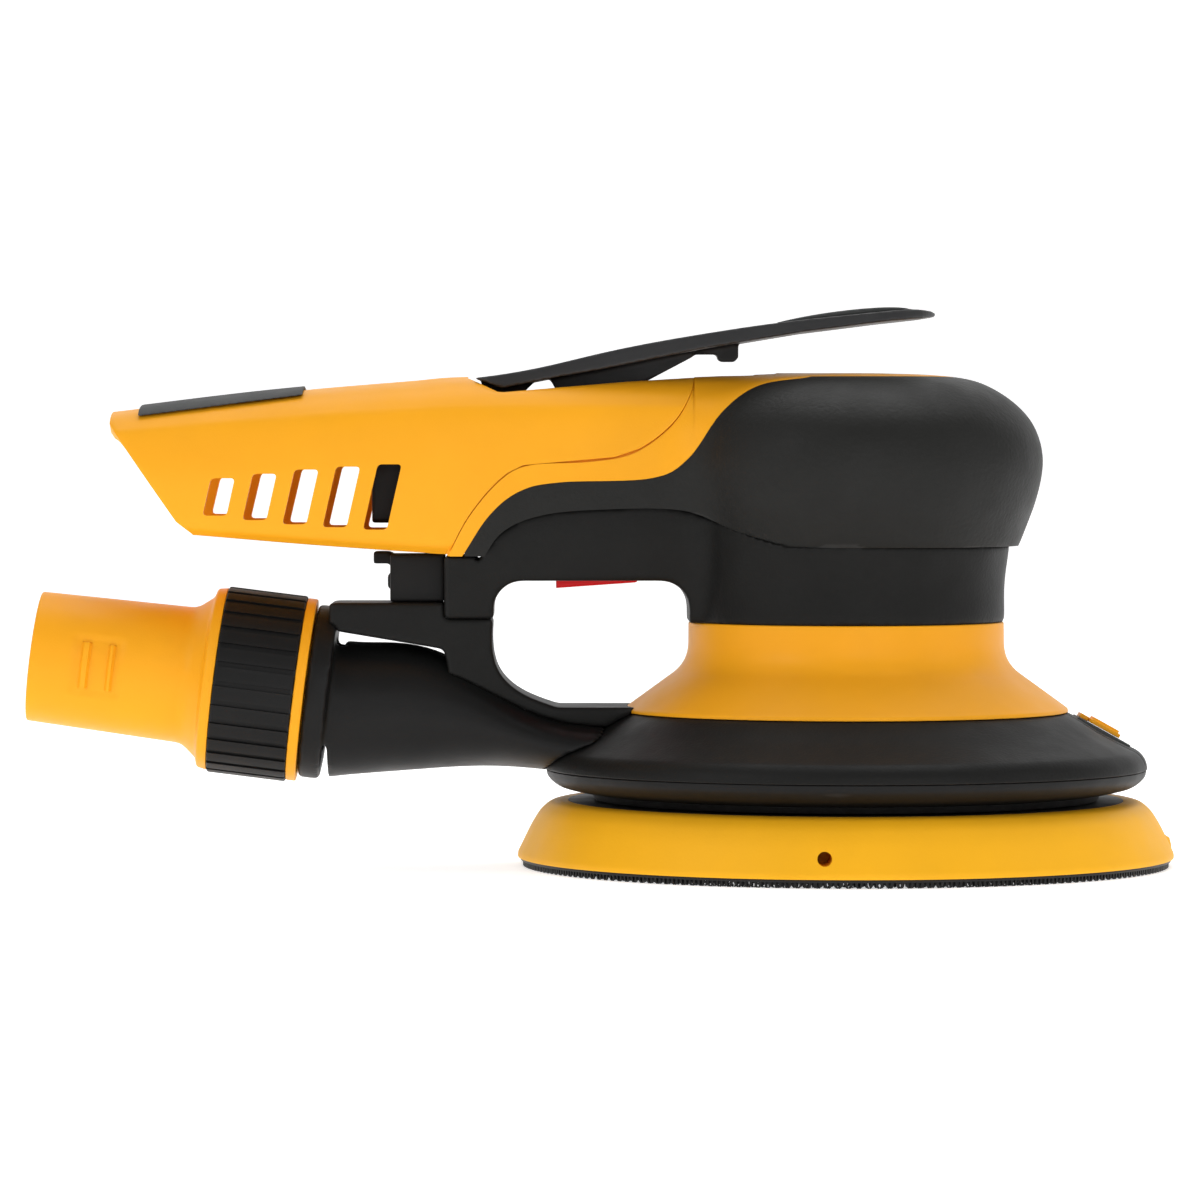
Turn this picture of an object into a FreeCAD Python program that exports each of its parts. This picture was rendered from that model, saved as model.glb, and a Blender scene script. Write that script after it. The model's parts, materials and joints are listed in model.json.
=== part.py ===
import FreeCAD, Part
import math
import os
import re
import Sketcher

# Electric random orbital sander, 150 mm pad, in millimetres.
# X points to the front of the tool, Z up, and the motor turns about the Z axis.
# Z = 0 is the working face of the hook-and-loop facing under the pad.

doc = FreeCAD.newDocument("OrbitalSander")
sheet = doc.addObject("Spreadsheet::Sheet", "Sizes")

DIMENSIONS = (
    # pad
    ("pad_radius", 75.0), ("pad_height", 15.0), ("pad_slope_run", 9.2), ("hook_height", 2.0),
    ("plate_thick", 4.0), ("plate_inset", 2.4), ("orbit", 2.5), ("dust_hole_radius", 5.0),
    ("dust_circle", 34.0), ("outer_hole_radius", 3.2), ("outer_circle", 55.0), ("hole_count", 8),
    ("side_hole_radius", 1.6), ("screw_well", 15.0), ("screw_head_radius", 6.5), ("screw_radius", 3.0),
    ("screw_head_height", 4.5), ("washer_radius", 9.0), ("washer_thick", 1.5), ("fit_gap", 0.1),
    # drive train
    ("spindle_radius", 5.0), ("bearing_radius", 14.0), ("bearing_bore", 6.0), ("bearing_width", 8.0),
    ("running_gap", 0.05), ("cup_wall", 3.0), ("cup_base", 18.0), ("motor_bearing_radius", 13.0),
    ("lower_bearing_z", 49.0), ("upper_bearing_z", 95.0), ("top_bearing_radius", 9.5),
    ("top_bearing_width", 6.0), ("rotor_radius", 14.5), ("magnet_thick", 2.5), ("air_gap", 0.6),
    ("stator_radius", 30.0), ("stack_base", 63.0), ("stack_height", 18.0), ("coil_overhang", 3.5),
    ("coil_count", 9), ("fan_radius", 22.0), ("fan_height", 5.0), ("blade_count", 11),
    ("weight_radius", 25.0), ("weight_thick", 5.5),
    # shroud, rim and collar
    ("shroud_radius", 68.7), ("shroud_wall", 2.6), ("shroud_base", 22.3), ("shroud_top", 35.3),
    ("collar_foot", 50.7), ("collar_top", 55.8), ("neck_radius", 36.0), ("neck_wall", 3.0),
    ("rim_depth", 5.5), ("seal_gap", 0.4), ("seal_width", 7.0),
    # upper body
    ("head_radius", 42.8), ("head_offset", 2.0), ("grip_half", 21.6), ("skin", 2.0), ("shell", 2.5),
    ("body_top", 112.0), ("loop_rear", -80.4), ("loop_clear", 0.1), ("loop_top", 65.4),
    ("loop_corner", 6.5), ("post_rear", -91.6), ("post_foot", 56.8), ("tail_rear", -167.0),
    ("tail_half", 18.5), ("window_pitch", 9.2), ("window_width", 5.4), ("window_count", 5),
    # lever
    ("pivot_x", -80.0), ("pivot_z", 105.0), ("lug_radius", 3.4), ("pin_radius", 1.5), ("web_half", 4.0),
    ("channel_gap", 1.0), ("lever_half", 18.5), ("tray_wall", 1.2), ("tray_floor", 99.5),
    # hose side
    ("duct_tilt", 7.2), ("duct_end_x", -122.8), ("duct_end_z", 40.1), ("duct_radius", 19.8),
    ("sleeve_radius", 14.6), ("sleeve_length", 4.0), ("duct_flange", 5.0), ("duct_wall", 2.2),
    ("spigot_radius", 15.6), ("spigot_taper", 0.8),
    ("hose_bore", 12.8), ("grip_ring_radius", 21.3), ("grip_ring_length", 18.2),
    ("flange_radius", 20.9), ("flange_thick", 2.3), ("swivel_length", 62.9), ("rib_count", 30),
    # button, latch, fasteners
    ("button_length", 18.5), ("button_half", 4.5), ("button_x", -57.0), ("button_gap", 0.35),
    ("button_proud", 1.9), ("latch_half", 7.0), ("latch_slope", 29.1), ("collar_screw_circle", 41.0),
    ("collar_screw_radius", 1.6), ("collar_screw_count", 4), ("bracket_screw_radius", 1.5),
    ("bracket_screw_circle", 28.0), ("bracket_screw_count", 4), ("tray_height", 8.0),
)

for row, (alias, value) in enumerate(DIMENSIONS, start=1):
    sheet.set(f"A{row}", alias)
    sheet.set(f"B{row}", str(value))
    sheet.setAlias(f"B{row}", alias)
doc.recompute()

ALIASES = re.compile(r"\b(" + "|".join(alias for alias, value in DIMENSIONS) + r")\b")
UP = FreeCAD.Vector(0, 0, 1)
ACROSS = FreeCAD.Vector(0, 1, 0)
REACH = 80.0        # half-length of the tools that cut right through the body


# ---------------------------------------------------------------- helpers

def bound(text):
    """An expression in plain size names, written for the document."""
    return ALIASES.sub(r"Sizes.\1", str(text))


def size(text):
    """The present value of an expression in size names."""
    return float(sheet.evalExpression(bound(text)))


def new_body(name):
    body = doc.addObject("PartDesign::Body", name)
    body.Label = name
    return body


def new_sketch(body, name, role, lift="0"):
    sketch = body.newObject("Sketcher::SketchObject", name)
    plane = next(item for item in body.Origin.OriginFeatures if item.Role == role)
    sketch.AttachmentSupport = [(plane, "")]
    sketch.MapMode = "FlatFace"
    sketch.setExpression("AttachmentOffset.Base.z", bound(lift))
    return sketch


def place_point(sketch, geometry, end, x, y):
    """Tie one point of a sketch to two expressions."""
    for kind, text, axis in (("DistanceX", x, -2), ("DistanceY", y, -1)):
        value = size(text)
        if abs(value) < 1e-9:
            sketch.addConstraint(Sketcher.Constraint("PointOnObject", geometry, end, axis))
        else:
            index = sketch.addConstraint(Sketcher.Constraint(kind, -1, 1, geometry, end, value))
            sketch.setExpression(f"Constraints[{index}]", bound(text))


def draw_outline(sketch, points):
    corners = [FreeCAD.Vector(size(x), size(y), 0) for x, y in points]
    total = len(corners)
    first = sketch.GeometryCount
    for index in range(total):
        sketch.addGeometry(Part.LineSegment(corners[index], corners[(index + 1) % total]))
    for index in range(total):
        following = first + (index + 1) % total
        sketch.addConstraint(Sketcher.Constraint("Coincident", first + index, 2, following, 1))
    for index, (x, y) in enumerate(points):
        place_point(sketch, first + index, 1, x, y)


def draw_circle(sketch, x, y, radius):
    centre = FreeCAD.Vector(size(x), size(y), 0)
    circle = sketch.addGeometry(Part.Circle(centre, UP, size(radius)))
    place_point(sketch, circle, 3, x, y)
    index = sketch.addConstraint(Sketcher.Constraint("Radius", circle, size(radius)))
    sketch.setExpression(f"Constraints[{index}]", bound(radius))


def turned(name, outline, role="XZ_Plane"):
    """A piece turned about its own Z axis; the outline is (radius, height)."""
    body = new_body(name)
    sketch = new_sketch(body, name + "_profile", role)
    draw_outline(sketch, outline)
    turn = body.newObject("PartDesign::Revolution", name + "_turn")
    turn.Profile = sketch
    turn.ReferenceAxis = (sketch, ["V_Axis"])
    turn.Angle = 360
    return body


def pad_sketch(body, name, sketch, length, midplane=False):
    pad = body.newObject("PartDesign::Pad", name)
    pad.Profile = sketch
    pad.setExpression("Length", bound(length))
    pad.Midplane = midplane
    return pad


def drill(body, name, circles, role="XY_Plane", repeat=None):
    """Holes right through along the sketch plane's normal, patterned when repeat is given."""
    sketch = new_sketch(body, name + "_spots", role)
    for x, y, radius in circles:
        draw_circle(sketch, x, y, radius)
    pocket = body.newObject("PartDesign::Pocket", name)
    pocket.Profile = sketch
    pocket.Type = "ThroughAll"
    pocket.Midplane = True
    if repeat is not None:
        pattern = body.newObject("PartDesign::PolarPattern", name + "_ring")
        pattern.Originals = [pocket]
        pattern.Axis = (sketch, ["N_Axis"])
        pattern.Angle = 360
        pattern.setExpression("Occurrences", bound(repeat))
        body.Tip = pattern
    return pocket


def move(body, x="0", y="0", z="0"):
    body.setExpression("Placement.Base.x", bound(x))
    body.setExpression("Placement.Base.y", bound(y))
    body.setExpression("Placement.Base.z", bound(z))


def feature(name, shape):
    """A sub-part whose shape is made by Part's functions from the sheet's sizes."""
    item = doc.addObject("Part::Feature", name)
    item.Label = name
    if len(shape.Solids) == 1:
        shape = shape.Solids[0]
    place = shape.Placement
    item.Shape = shape
    item.Placement = place
    return item


def at(x, z, y=0.0):
    return FreeCAD.Vector(x, y, z)


def smooth(points):
    curve = Part.BSplineCurve()
    curve.interpolate(points)
    return curve.toShape()


def side_block(curve, corners, half=REACH):
    """A block across the body whose side outline is one smooth curve closed by straight lines."""
    line = [at(x, z, -half) for x, z in curve]
    ring = [at(x, z, -half) for x, z in corners]
    edges = [smooth(line)]
    chain = [line[-1]] + ring + [line[0]]
    for start, end in zip(chain, chain[1:]):
        edges.append(Part.LineSegment(start, end).toShape())
    return Part.Face(Part.Wire(edges)).extrude(FreeCAD.Vector(0, 2 * half, 0))


def side_plate(points, half, centre=0.0):
    """A plate across the body with a straight-sided side outline."""
    ring = [at(x, z, centre - half) for x, z in points]
    face = Part.Face(Part.makePolygon(ring + [ring[0]]))
    return face.extrude(FreeCAD.Vector(0, 2 * half, 0))


def block(x0, x1, y0, y1, z0, z1):
    return Part.makeBox(x1 - x0, y1 - y0, z1 - z0, FreeCAD.Vector(x0, y0, z0))


def rounded(shape, radius, pick):
    """Round the edges that pick accepts."""
    edges = [edge for edge in shape.Edges if pick(edge)]
    return shape.makeFillet(radius, edges)


def turned_solid(points):
    """A plain solid of revolution about Z, used as a cutting tool."""
    ring = [at(radius, height) for radius, height in points]
    face = Part.Face(Part.makePolygon(ring + [ring[0]]))
    return face.revolve(FreeCAD.Vector(0, 0, 0), UP, 360)


# ---------------------------------------------------------------- body envelope

def slot_ring(height, radius, centre, half, blend, rear):
    """A level section of head and grip: a round nose that flows into a straight-sided bar."""
    reach = math.sqrt((radius + blend) ** 2 - (half + blend) ** 2)
    hub = at(centre, height)
    corner = at(centre - reach, height, half + blend)
    towards = (corner - hub).normalize()
    tangent = hub + towards * radius
    start = at(centre - reach, height, half)
    bisector = (FreeCAD.Vector(0, -1, 0) - towards).normalize()
    middle = corner + bisector * blend
    swing = math.atan2(towards.y, towards.x) / 2
    quarter = at(centre + radius * math.cos(swing), height, radius * math.sin(swing))
    nose = at(centre + radius, height)

    def other(point):
        return FreeCAD.Vector(point.x, -point.y, point.z)

    edges = [
        Part.LineSegment(at(rear, height, half), start),
        Part.Arc(start, middle, tangent),
        Part.Arc(tangent, quarter, nose),
        Part.Arc(nose, other(quarter), other(tangent)),
        Part.Arc(other(tangent), other(middle), other(start)),
        Part.LineSegment(other(start), at(rear, height, -half)),
        Part.LineSegment(at(rear, height, -half), at(rear, height, half)),
    ]
    return Part.Wire([edge.toShape() for edge in edges])


# (height, radius less than the head's, half-width less than the grip's)
HEAD_LEVELS = ((71.0, 6.6, 2.8), (73.8, 5.2, 2.1), (78.6, 3.3, 1.1), (83.3, 1.6, 0.4), (88.7, 0.3, 0.0),
               (93.4, 0.0, 0.0), (98.1, 1.0, 0.6), (102.4, 3.3, 1.8), (106.4, 7.4, 4.3),
               (109.6, 12.7, 8.4), (111.2, 17.8, 12.6), (112.0, 24.8, 17.6))
# (height, radius more than the neck's, half-width less than the grip's)
NECK_LEVELS = ((55.8, 0.0, 9.1), (60.0, 0.1, 7.6), (66.0, 0.3, 6.1), (72.0, 1.1, 4.6),
               (78.0, 1.6, 3.6), (84.0, 2.0, 3.1))


def head_body(inset, levels):
    radius = size("head_radius") - inset
    half = size("grip_half") - inset
    lift = size("body_top") - HEAD_LEVELS[-1][0]
    rings = []
    for height, less, narrower in levels:
        rings.append(slot_ring(height + lift, radius - less, size("head_offset"), half - narrower,
                               18.0, size("post_rear") - 8.4))
    return Part.makeLoft(rings, True, False)


def neck_body(inset):
    radius = size("neck_radius") - inset
    half = size("grip_half") - inset
    rings = []
    for height, more, narrower in NECK_LEVELS:
        rings.append(slot_ring(height, radius + more, 0.0, half - narrower, 10.0, size("post_rear") + inset))
    return Part.makeLoft(rings, True, False)


def loop_block(margin):
    """The upper part of the finger loop, grown by a margin on every side."""
    rear = size("loop_rear") - margin
    front = size("-neck_radius - loop_clear") + margin
    top = size("loop_top") + margin
    corner = size("loop_corner") + margin
    low = size("post_foot") - 12 - margin
    diagonal = corner * (1 - math.sqrt(0.5))
    points = [(rear, low), (rear, top - corner), (rear + diagonal, top - diagonal), (rear + corner, top),
              (front - corner, top), (front - diagonal, top - diagonal), (front, top - corner), (front, low)]
    p = [at(x, z, -REACH) for x, z in points]
    edges = [Part.LineSegment(p[0], p[1]), Part.Arc(p[1], p[2], p[3]), Part.LineSegment(p[3], p[4]),
             Part.Arc(p[4], p[5], p[6]), Part.LineSegment(p[6], p[7]), Part.LineSegment(p[7], p[0])]
    face = Part.Face(Part.Wire([edge.toShape() for edge in edges]))
    return face.extrude(FreeCAD.Vector(0, 2 * REACH, 0))


def tail_section(x, bottom, top, half):
    """An upright section of the tail: a flat floor, full sides and a soft crown."""
    sides = ((0.76, 0.0), (0.90, 0.07), (0.965, 0.25), (1.0, 0.5), (0.93, 0.76), (0.81, 0.865),
             (0.61, 0.945), (0.32, 0.988))
    left = [FreeCAD.Vector(x, -half * wide, bottom + (top - bottom) * up) for wide, up in sides]
    right = [FreeCAD.Vector(x, half * wide, bottom + (top - bottom) * up) for wide, up in sides]
    crown = smooth(left + [FreeCAD.Vector(x, 0, top)] + right[::-1])
    return Part.Wire([crown, Part.LineSegment(right[0], left[0]).toShape()])


# (share of the way from the tail's rear end to the post, floor, roof, share of the width gained)
TAIL_STATIONS = ((-0.05, 77.6, 103.2, 0.0), (0.28, 75.6, 106.2, 0.5), (0.6, 73.6, 108.8, 0.85),
                 (0.9, 72.0, 110.7, 1.0), (1.05, 71.4, 111.6, 1.0), (1.4, 71.2, 111.9, 1.0),
                 (1.85, 71.2, 112.0, 1.0))


def tail_body(inset):
    rear = size("tail_rear")
    run = size("post_rear") - rear
    lift = size("body_top") - 112.0
    rings = []
    for share, floor, roof, wide in TAIL_STATIONS:
        half = size("tail_half") + (size("grip_half") - size("tail_half")) * wide
        rings.append(tail_section(rear + run * share, floor + inset, roof + lift - inset, half - inset))
    return Part.makeLoft(rings, True, False)


S_SEAM = ((-90.9, 70.6), (-85.8, 80.1), (-78.8, 88.3), (-72.2, 91.7), (-58.6, 92.5), (-48.8, 94.4),
          (-40.4, 100.4), (-35.9, 107.6), (-34.5, 114.0))
COLOUR_LINE = ((-87.6, 70.6), (-81.3, 80.1), (-74.4, 85.6), (-65.3, 87.6), (-45.0, 88.5), (-36.7, 92.9),
               (-29.1, 103.4), (-20.8, 109.4), (-9.4, 111.3))
STEP_LINE = ((-84.6, 67.0), (-79.0, 76.2), (-69.9, 80.5), (-56.2, 81.9), (-37.9, 81.7), (-26.1, 77.2),
             (-14.1, 73.5))
STEP_HEIGHT = 73.5
COLOUR_TOP = 111.5

front_of_seam = side_block(S_SEAM, ((90, 114), (90, 60), (-90.9, 60)))
below_step = side_block(STEP_LINE, ((90, STEP_HEIGHT), (90, 40), (-110, 40), (-110, 71), (-84.6, 71)))
rubber_zone = side_block(COLOUR_LINE, ((90, COLOUR_TOP), (90, 60), (-87.6, 60)))
roof_slope = side_plate(((-110, 109.2), (-50.2, 110.4), (-34.5, 111.5), (-16, 112.3), (-16, 130), (-110, 130)),
                        REACH)

tray_half = size("web_half + channel_gap + tray_wall")
tray_rear = size("pivot_x - 6.5")
tray_front = size("pivot_x + 59")
tray_box = block(tray_rear, tray_front, -tray_half, tray_half, size("tray_floor"), 125)


def make_upper_shells():
    outer = head_body(0.0, HEAD_LEVELS).cut(roof_slope)
    under_rubber = head_body(size("skin"), HEAD_LEVELS)
    hollow = head_body(size("skin + shell"), HEAD_LEVELS[:-2])
    above = outer.common(front_of_seam).cut(below_step)
    rubber = above.common(rubber_zone).cut(under_rubber)
    feature("grip_overmould", rubber)
    feature("main_housing", above.cut(rubber).cut(hollow).cut(tray_box))


def make_lower_housing():
    outer = neck_body(0.0).common(below_step)
    inner = neck_body(size("neck_wall")).cut(loop_block(size("neck_wall")))
    inner = inner.cut(block(-110, size("-neck_radius - loop_clear"), -REACH, REACH, 40, size("post_foot + neck_wall")))
    foot_gap = block(-110, size("-neck_radius - loop_clear - 6"), -REACH, REACH, 40, size("post_foot"))
    reach = size("button_length / 2 + button_gap")
    half = size("button_half + button_gap")
    slot = block(size("button_x") - reach, size("button_x") + reach, -half, half, 60, 72)
    feature("lower_housing", outer.cut(loop_block(0.0)).cut(inner).cut(foot_gap).cut(slot))


def windows():
    """The row of leaning cooling windows in the tail, as one set of cutters."""
    cutters = []
    lean = math.tan(math.radians(13))
    middle = 84.4
    for index in range(int(size("window_count"))):
        centre = size("post_rear - 13.7") - size("window_pitch") * index
        tall = (14.7, 13.6, 12.3, 10.4, 8.4)[min(index, 4)] / 2
        wide = size("window_width") / 2
        points = [(centre + side * wide + up * tall * lean, middle + up * tall)
                  for side, up in ((-1, -1), (1, -1), (1, 1), (-1, 1))]
        cutter = side_plate(points, REACH)
        cutters.append(rounded(cutter, 1.0, lambda edge: edge.BoundBox.YLength > REACH))
    return cutters


def make_rear_cover():
    cover = tail_body(0.0).cut(front_of_seam).cut(tail_body(size("shell")))
    rear = size("tail_rear")
    slant = side_plate(((rear - 40, 60), (rear - 40, 130), (rear, 130), (rear, 100.9), (rear + 15.2, 78.8),
                        (rear + 18.8, 76.0), (rear + 18.8, 60)), REACH)
    seat_rear = size("pivot_x - 5.8")
    seat = side_plate(((seat_rear, 111.1), (seat_rear + 6.8, 107.9), (-50.2, 110.4), (-30, 111.7),
                       (-30, 125), (seat_rear, 125)), REACH)
    cover = cover.cut(slant).cut(seat)
    room = tail_body(size("shell / 2"))
    reach = size("grip_half - shell")
    for start in (tray_half, -reach):
        boss = Part.makeCylinder(4.0, reach - tray_half, at(size("pivot_x"), size("pivot_z"), start), ACROSS)
        cover = cover.fuse(boss.common(room))
    cover = cover.cut(tray_box).cut(pin_tool(size("pin_radius"))).cut(windows())
    feature("rear_cover", cover)


def pin_tool(radius):
    """A cylinder across the tool on the lever's pivot line, as long as the lever pin."""
    half = tray_half + 6.0
    return Part.makeCylinder(radius, 2 * half, at(size("pivot_x"), size("pivot_z"), -half), ACROSS)


def make_tail_pad():
    """Soft pad let into the roof of the tail."""
    proud = tail_body(-0.9).cut(tail_body(0.0))
    rear = size("tail_rear + 6.3")
    edge = side_plate(((rear, 102.6), (rear + 37.2, 107.4), (rear + 37.2, 130), (rear, 130)), 14.5)
    feature("tail_pad", proud.common(edge))


def make_tray():
    """Black channel in the roof that the lever's web drops into."""
    outer = block(tray_rear, tray_front, -tray_half, tray_half, size("tray_floor"),
                  size("tray_floor + tray_height"))
    wall = size("tray_wall")
    inner = block(tray_rear + wall, tray_front - wall, -tray_half + wall, tray_half - wall,
                  size("tray_floor + tray_wall"), 125)
    feature("lever_tray", outer.cut(inner).cut(pin_tool(size("pin_radius"))))
    feature("lever_pin", pin_tool(size("pin_radius")))


# ---------------------------------------------------------------- paddle lever

BLADE_TOP = ((-84.6, 111.3), (-79.0, 112.0), (-69.9, 113.6), (-56.2, 116.8), (-33.3, 121.1), (-10.5, 124.3),
             (7.8, 126.2), (16.9, 126.7), (20.2, 126.2))
BLADE_UNDER = ((20.3, 125.3), (16.9, 124.8), (7.8, 123.9), (-10.5, 121.6), (-33.3, 117.8), (-56.2, 113.2),
               (-65.3, 111.6), (-78.5, 109.0), (-84.3, 111.1))
INLAY_TOP = ((-20.0, 122.9), (-10.5, 125.1), (-1.4, 126.5), (7.8, 127.3), (12.3, 127.3), (16.5, 126.6))


def lever_plan():
    """Plan of the blade: narrow at the hinge, widening to a round front."""
    half = size("lever_half")
    front = BLADE_UNDER[0][0]
    turn = front - half
    corners = [at(-86, 90, -11.5), at(-25, 90, -half), at(turn, 90, -half)]
    ends = [at(turn, 90, half), at(-25, 90, half), at(-86, 90, 11.5)]
    edges = [Part.LineSegment(corners[0], corners[1]), Part.LineSegment(corners[1], corners[2]),
             Part.Arc(corners[2], at(front, 90), ends[0]), Part.LineSegment(ends[0], ends[1]),
             Part.LineSegment(ends[1], ends[2]), Part.LineSegment(ends[2], corners[0])]
    return Part.Face(Part.Wire([edge.toShape() for edge in edges])).extrude(FreeCAD.Vector(0, 0, 50))


def make_lever():
    x = size("pivot_x")
    z = size("pivot_z")
    half = size("web_half")
    blade = side_block(BLADE_TOP, BLADE_UNDER, 40).common(lever_plan())
    web = side_plate(((-68, 111.8), (-66, 108.2), (-50.2, 108.2), (-35, 116.2), (-35, 118.5)), half)
    lug = Part.makeCylinder(size("lug_radius"), 2 * half, at(x, z, -half), ACROSS)
    neck = side_plate(((x - 3.2, z), (x + 3.2, z), (-70, 111.6), (x - 3.2, 110.9)), half)
    tooth = side_plate(((-36, 118.5), (-35, 116.7), (-29.5, 116.7), (-29.5, 119.2)), half - 1)
    prong = side_plate(((-29.5, 119.2), (-29.5, 115.6), (-28.6, 115), (-25.6, 115), (-24.7, 116), (-24.7, 120)),
                       half - 1)
    magnet = Part.makeCylinder(1.2, 1.2, at(-27.1, 115.0))
    lever = blade.fuse([web, lug, neck, tooth, prong]).cut(magnet)
    feature("paddle_lever", lever.cut(pin_tool(size("pin_radius + running_gap"))))
    feature("lever_magnet", magnet)
    oval = Part.Ellipse(at(-1.75, 110), 18.2, 11.0).toShape()
    column = Part.Face(Part.Wire([oval])).extrude(FreeCAD.Vector(0, 0, 30))
    crown = side_block(INLAY_TOP, ((17, 115), (-21, 115)), 40).common(column)
    crown = crown.cut(side_block(BLADE_TOP, BLADE_UNDER, 40))
    feature("lever_inlay", max(crown.Solids, key=lambda solid: solid.BoundBox.ZMax))
    floor = size("tray_floor + tray_wall")
    coil = Part.makeHelix(1.9, 108.2 - 0.4 - floor - 0.4, 2.4)
    coil.translate(at(-58, floor + 0.4))
    wire = Part.Wire([Part.Circle(at(-58 + 2.4, floor + 0.4), ACROSS, 0.35).toShape()])
    feature("lever_spring", Part.Wire(coil.Edges).makePipeShell([wire], True, True))


# ---------------------------------------------------------------- collar, shroud, duct and arm

SHROUD_SKIN = ((50.0, 35.3), (53.4, 33.7), (58.0, 30.8), (62.6, 28.5), (66.7, 26.7), (68.0, 25.3),
               (68.7, 23.0))


def shroud_outline():
    """(radius, height) down the outside of the shroud, from the collar's foot to its lower edge."""
    grow = size("shroud_radius") - SHROUD_SKIN[-1][0]
    return [(radius + grow, height) for radius, height in SHROUD_SKIN]


def shroud_core():
    skin = shroud_outline()
    base = size("shroud_base")
    return turned_solid([(0, size("shroud_top"))] + skin + [(skin[-1][0], base), (0, base)])


def rim_core():
    edge = size("shroud_radius")
    base = size("shroud_base")
    return turned_solid(((0, base), (edge - 0.2, base), (edge - 0.7, base - 1.6), (edge - 3.2, base - 3.6),
                         (edge - 10.7, base - size("rim_depth")), (0, base - size("rim_depth"))))


def collar_core():
    foot = size("shroud_top")
    neck = size("neck_radius")
    return turned_solid(((0, foot), (size("collar_foot"), foot), (size("collar_foot"), foot + 0.4),
                         (neck + 4.6, foot + 7.9), (neck + 1.5, foot + 10.4), (neck, foot + 13.6),
                         (neck, size("collar_top")), (0, size("collar_top"))))


def ring_of(solid, radius, count):
    """Copies of a solid placed at this radius on +X, spread evenly round the Z axis."""
    copies = []
    for index in range(int(count)):
        copy = solid.copy()
        copy.translate(FreeCAD.Vector(radius, 0, 0))
        copy.rotate(FreeCAD.Vector(0, 0, 0), UP, 45 + 360.0 * index / count)
        copies.append(copy)
    return copies


# (position along X, centre height, half height, half width)
DUCT_STATIONS = ((-118.2, 36.7, 16.4, 16.7), (-105.0, 36.3, 14.8, 16.2), (-93.0, 35.7, 13.3, 16.6),
                 (-79.0, 31.9, 9.1, 18.4), (-66.0, 28.2, 6.4, 21.0), (-50.0, 27.4, 4.6, 24.0))


def duct_loft(wall):
    """The duct between the shroud and its end ring, lofted through upright ovals."""
    upright = FreeCAD.Rotation(ACROSS, UP, FreeCAD.Vector(1, 0, 0))
    rings = []
    for x, centre, high, wide in DUCT_STATIONS:
        oval = Part.Wire([Part.Ellipse(at(0, 0), wide - wall, high - wall).toShape()])
        oval.Placement = FreeCAD.Placement(at(x, centre), upright)
        rings.append(oval)
    return Part.makeLoft(rings, True, False)


def duct_axis_cylinder(radius, start, length):
    tilt = math.radians(size("duct_tilt"))
    along = FreeCAD.Vector(math.cos(tilt), 0, -math.sin(tilt))
    end = at(size("duct_end_x"), size("duct_end_z"))
    return Part.makeCylinder(radius, length, end + along * start, along)


def make_hose_side():
    bore = duct_axis_cylinder(size("sleeve_radius + running_gap"), 0, size("sleeve_length + 0.2"))
    outer = duct_loft(0.0).fuse(duct_axis_cylinder(size("duct_radius"), 0, size("duct_flange")))
    channel = duct_loft(size("duct_wall"))
    port = channel.fuse(duct_axis_cylinder(size("hose_bore"), 0, size("duct_flange + 2")))
    duct = outer.cut(port).cut(bore).cut(shroud_core()).cut(rim_core())
    feature("exhaust_duct", max(duct.Solids, key=lambda solid: solid.Volume))

    skin = shroud_outline()
    wall = size("shroud_wall")
    base = size("shroud_base")
    top = size("shroud_top")
    inner = [(0, top - wall), (skin[0][0] - 1.2, top - wall)]
    inner += [(radius - 0.9, height - wall) for radius, height in skin[1:4]]
    inner += [(skin[-1][0] - wall - 0.6, skin[4][1] - wall), (skin[-1][0] - wall, base), (0, base)]
    shroud = shroud_core().cut(turned_solid(inner)).cut(Part.makeCylinder(27, 30, at(0, base)))
    shroud = shroud.cut(channel)
    holes = ring_of(Part.makeCylinder(size("collar_screw_radius"), 7, at(0, top - 4)),
                    size("collar_screw_circle"), size("collar_screw_count"))
    feature("dust_shroud", shroud.cut(holes).cut(latch_box()))

    inside = Part.makeCylinder(size("neck_radius - neck_wall"), 40, at(0, top - 1))
    holes = ring_of(Part.makeCylinder(size("collar_screw_radius"), 5.2, at(0, top)),
                    size("collar_screw_circle"), size("collar_screw_count"))
    feature("collar", collar_core().cut(inside).cut(holes))
    screw = Part.makeCylinder(size("collar_screw_radius"), 7.4, at(0, top - wall)).fuse(
        Part.makeCylinder(3.0, 1.8, at(0, top - wall - 1.8)))
    feature("collar_screws", Part.makeCompound(ring_of(screw, size("collar_screw_circle"),
                                                       size("collar_screw_count"))))


LOOP_UNDER = ((-80.4, 56.8), (-80.6, 50.4), (-79.2, 45.0), (-75.0, 40.6), (-70.4, 38.3), (-65.8, 36.7))


def make_arm():
    """Arm that closes the finger loop and carries the saddle over the duct."""
    rear = size("post_rear")
    foot = size("post_foot")
    shape = side_block(LOOP_UNDER, ((-40, 36.7), (-40, 27), (-88, 30), (rear, 49.8), (rear - 1.6, 50.1),
                                    (rear - 26, 54.2), (rear - 26, 60.4), (rear, 60.4), (rear, foot)),
                       size("grip_half - 9.1"))
    end_ring = duct_axis_cylinder(size("duct_radius"), 0, size("duct_flange"))
    shape = shape.cut(duct_loft(0.0)).cut(end_ring).cut(shroud_core()).cut(collar_core())
    largest = max(shape.Solids, key=lambda solid: solid.Volume)
    feature("shroud_arm", largest)


def latch_frame(shape):
    """Put a shape drawn flat at the origin onto the front slope of the shroud."""
    spot = shroud_outline()[2]
    tilt = FreeCAD.Rotation(ACROSS, size("latch_slope"))
    shape.Placement = FreeCAD.Placement(at(spot[0], spot[1] + 0.25), tilt)
    return shape


def latch_box():
    half = size("latch_half")
    return latch_frame(block(-6.2, 7.4, -half, half, -0.9, 0.3))


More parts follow.
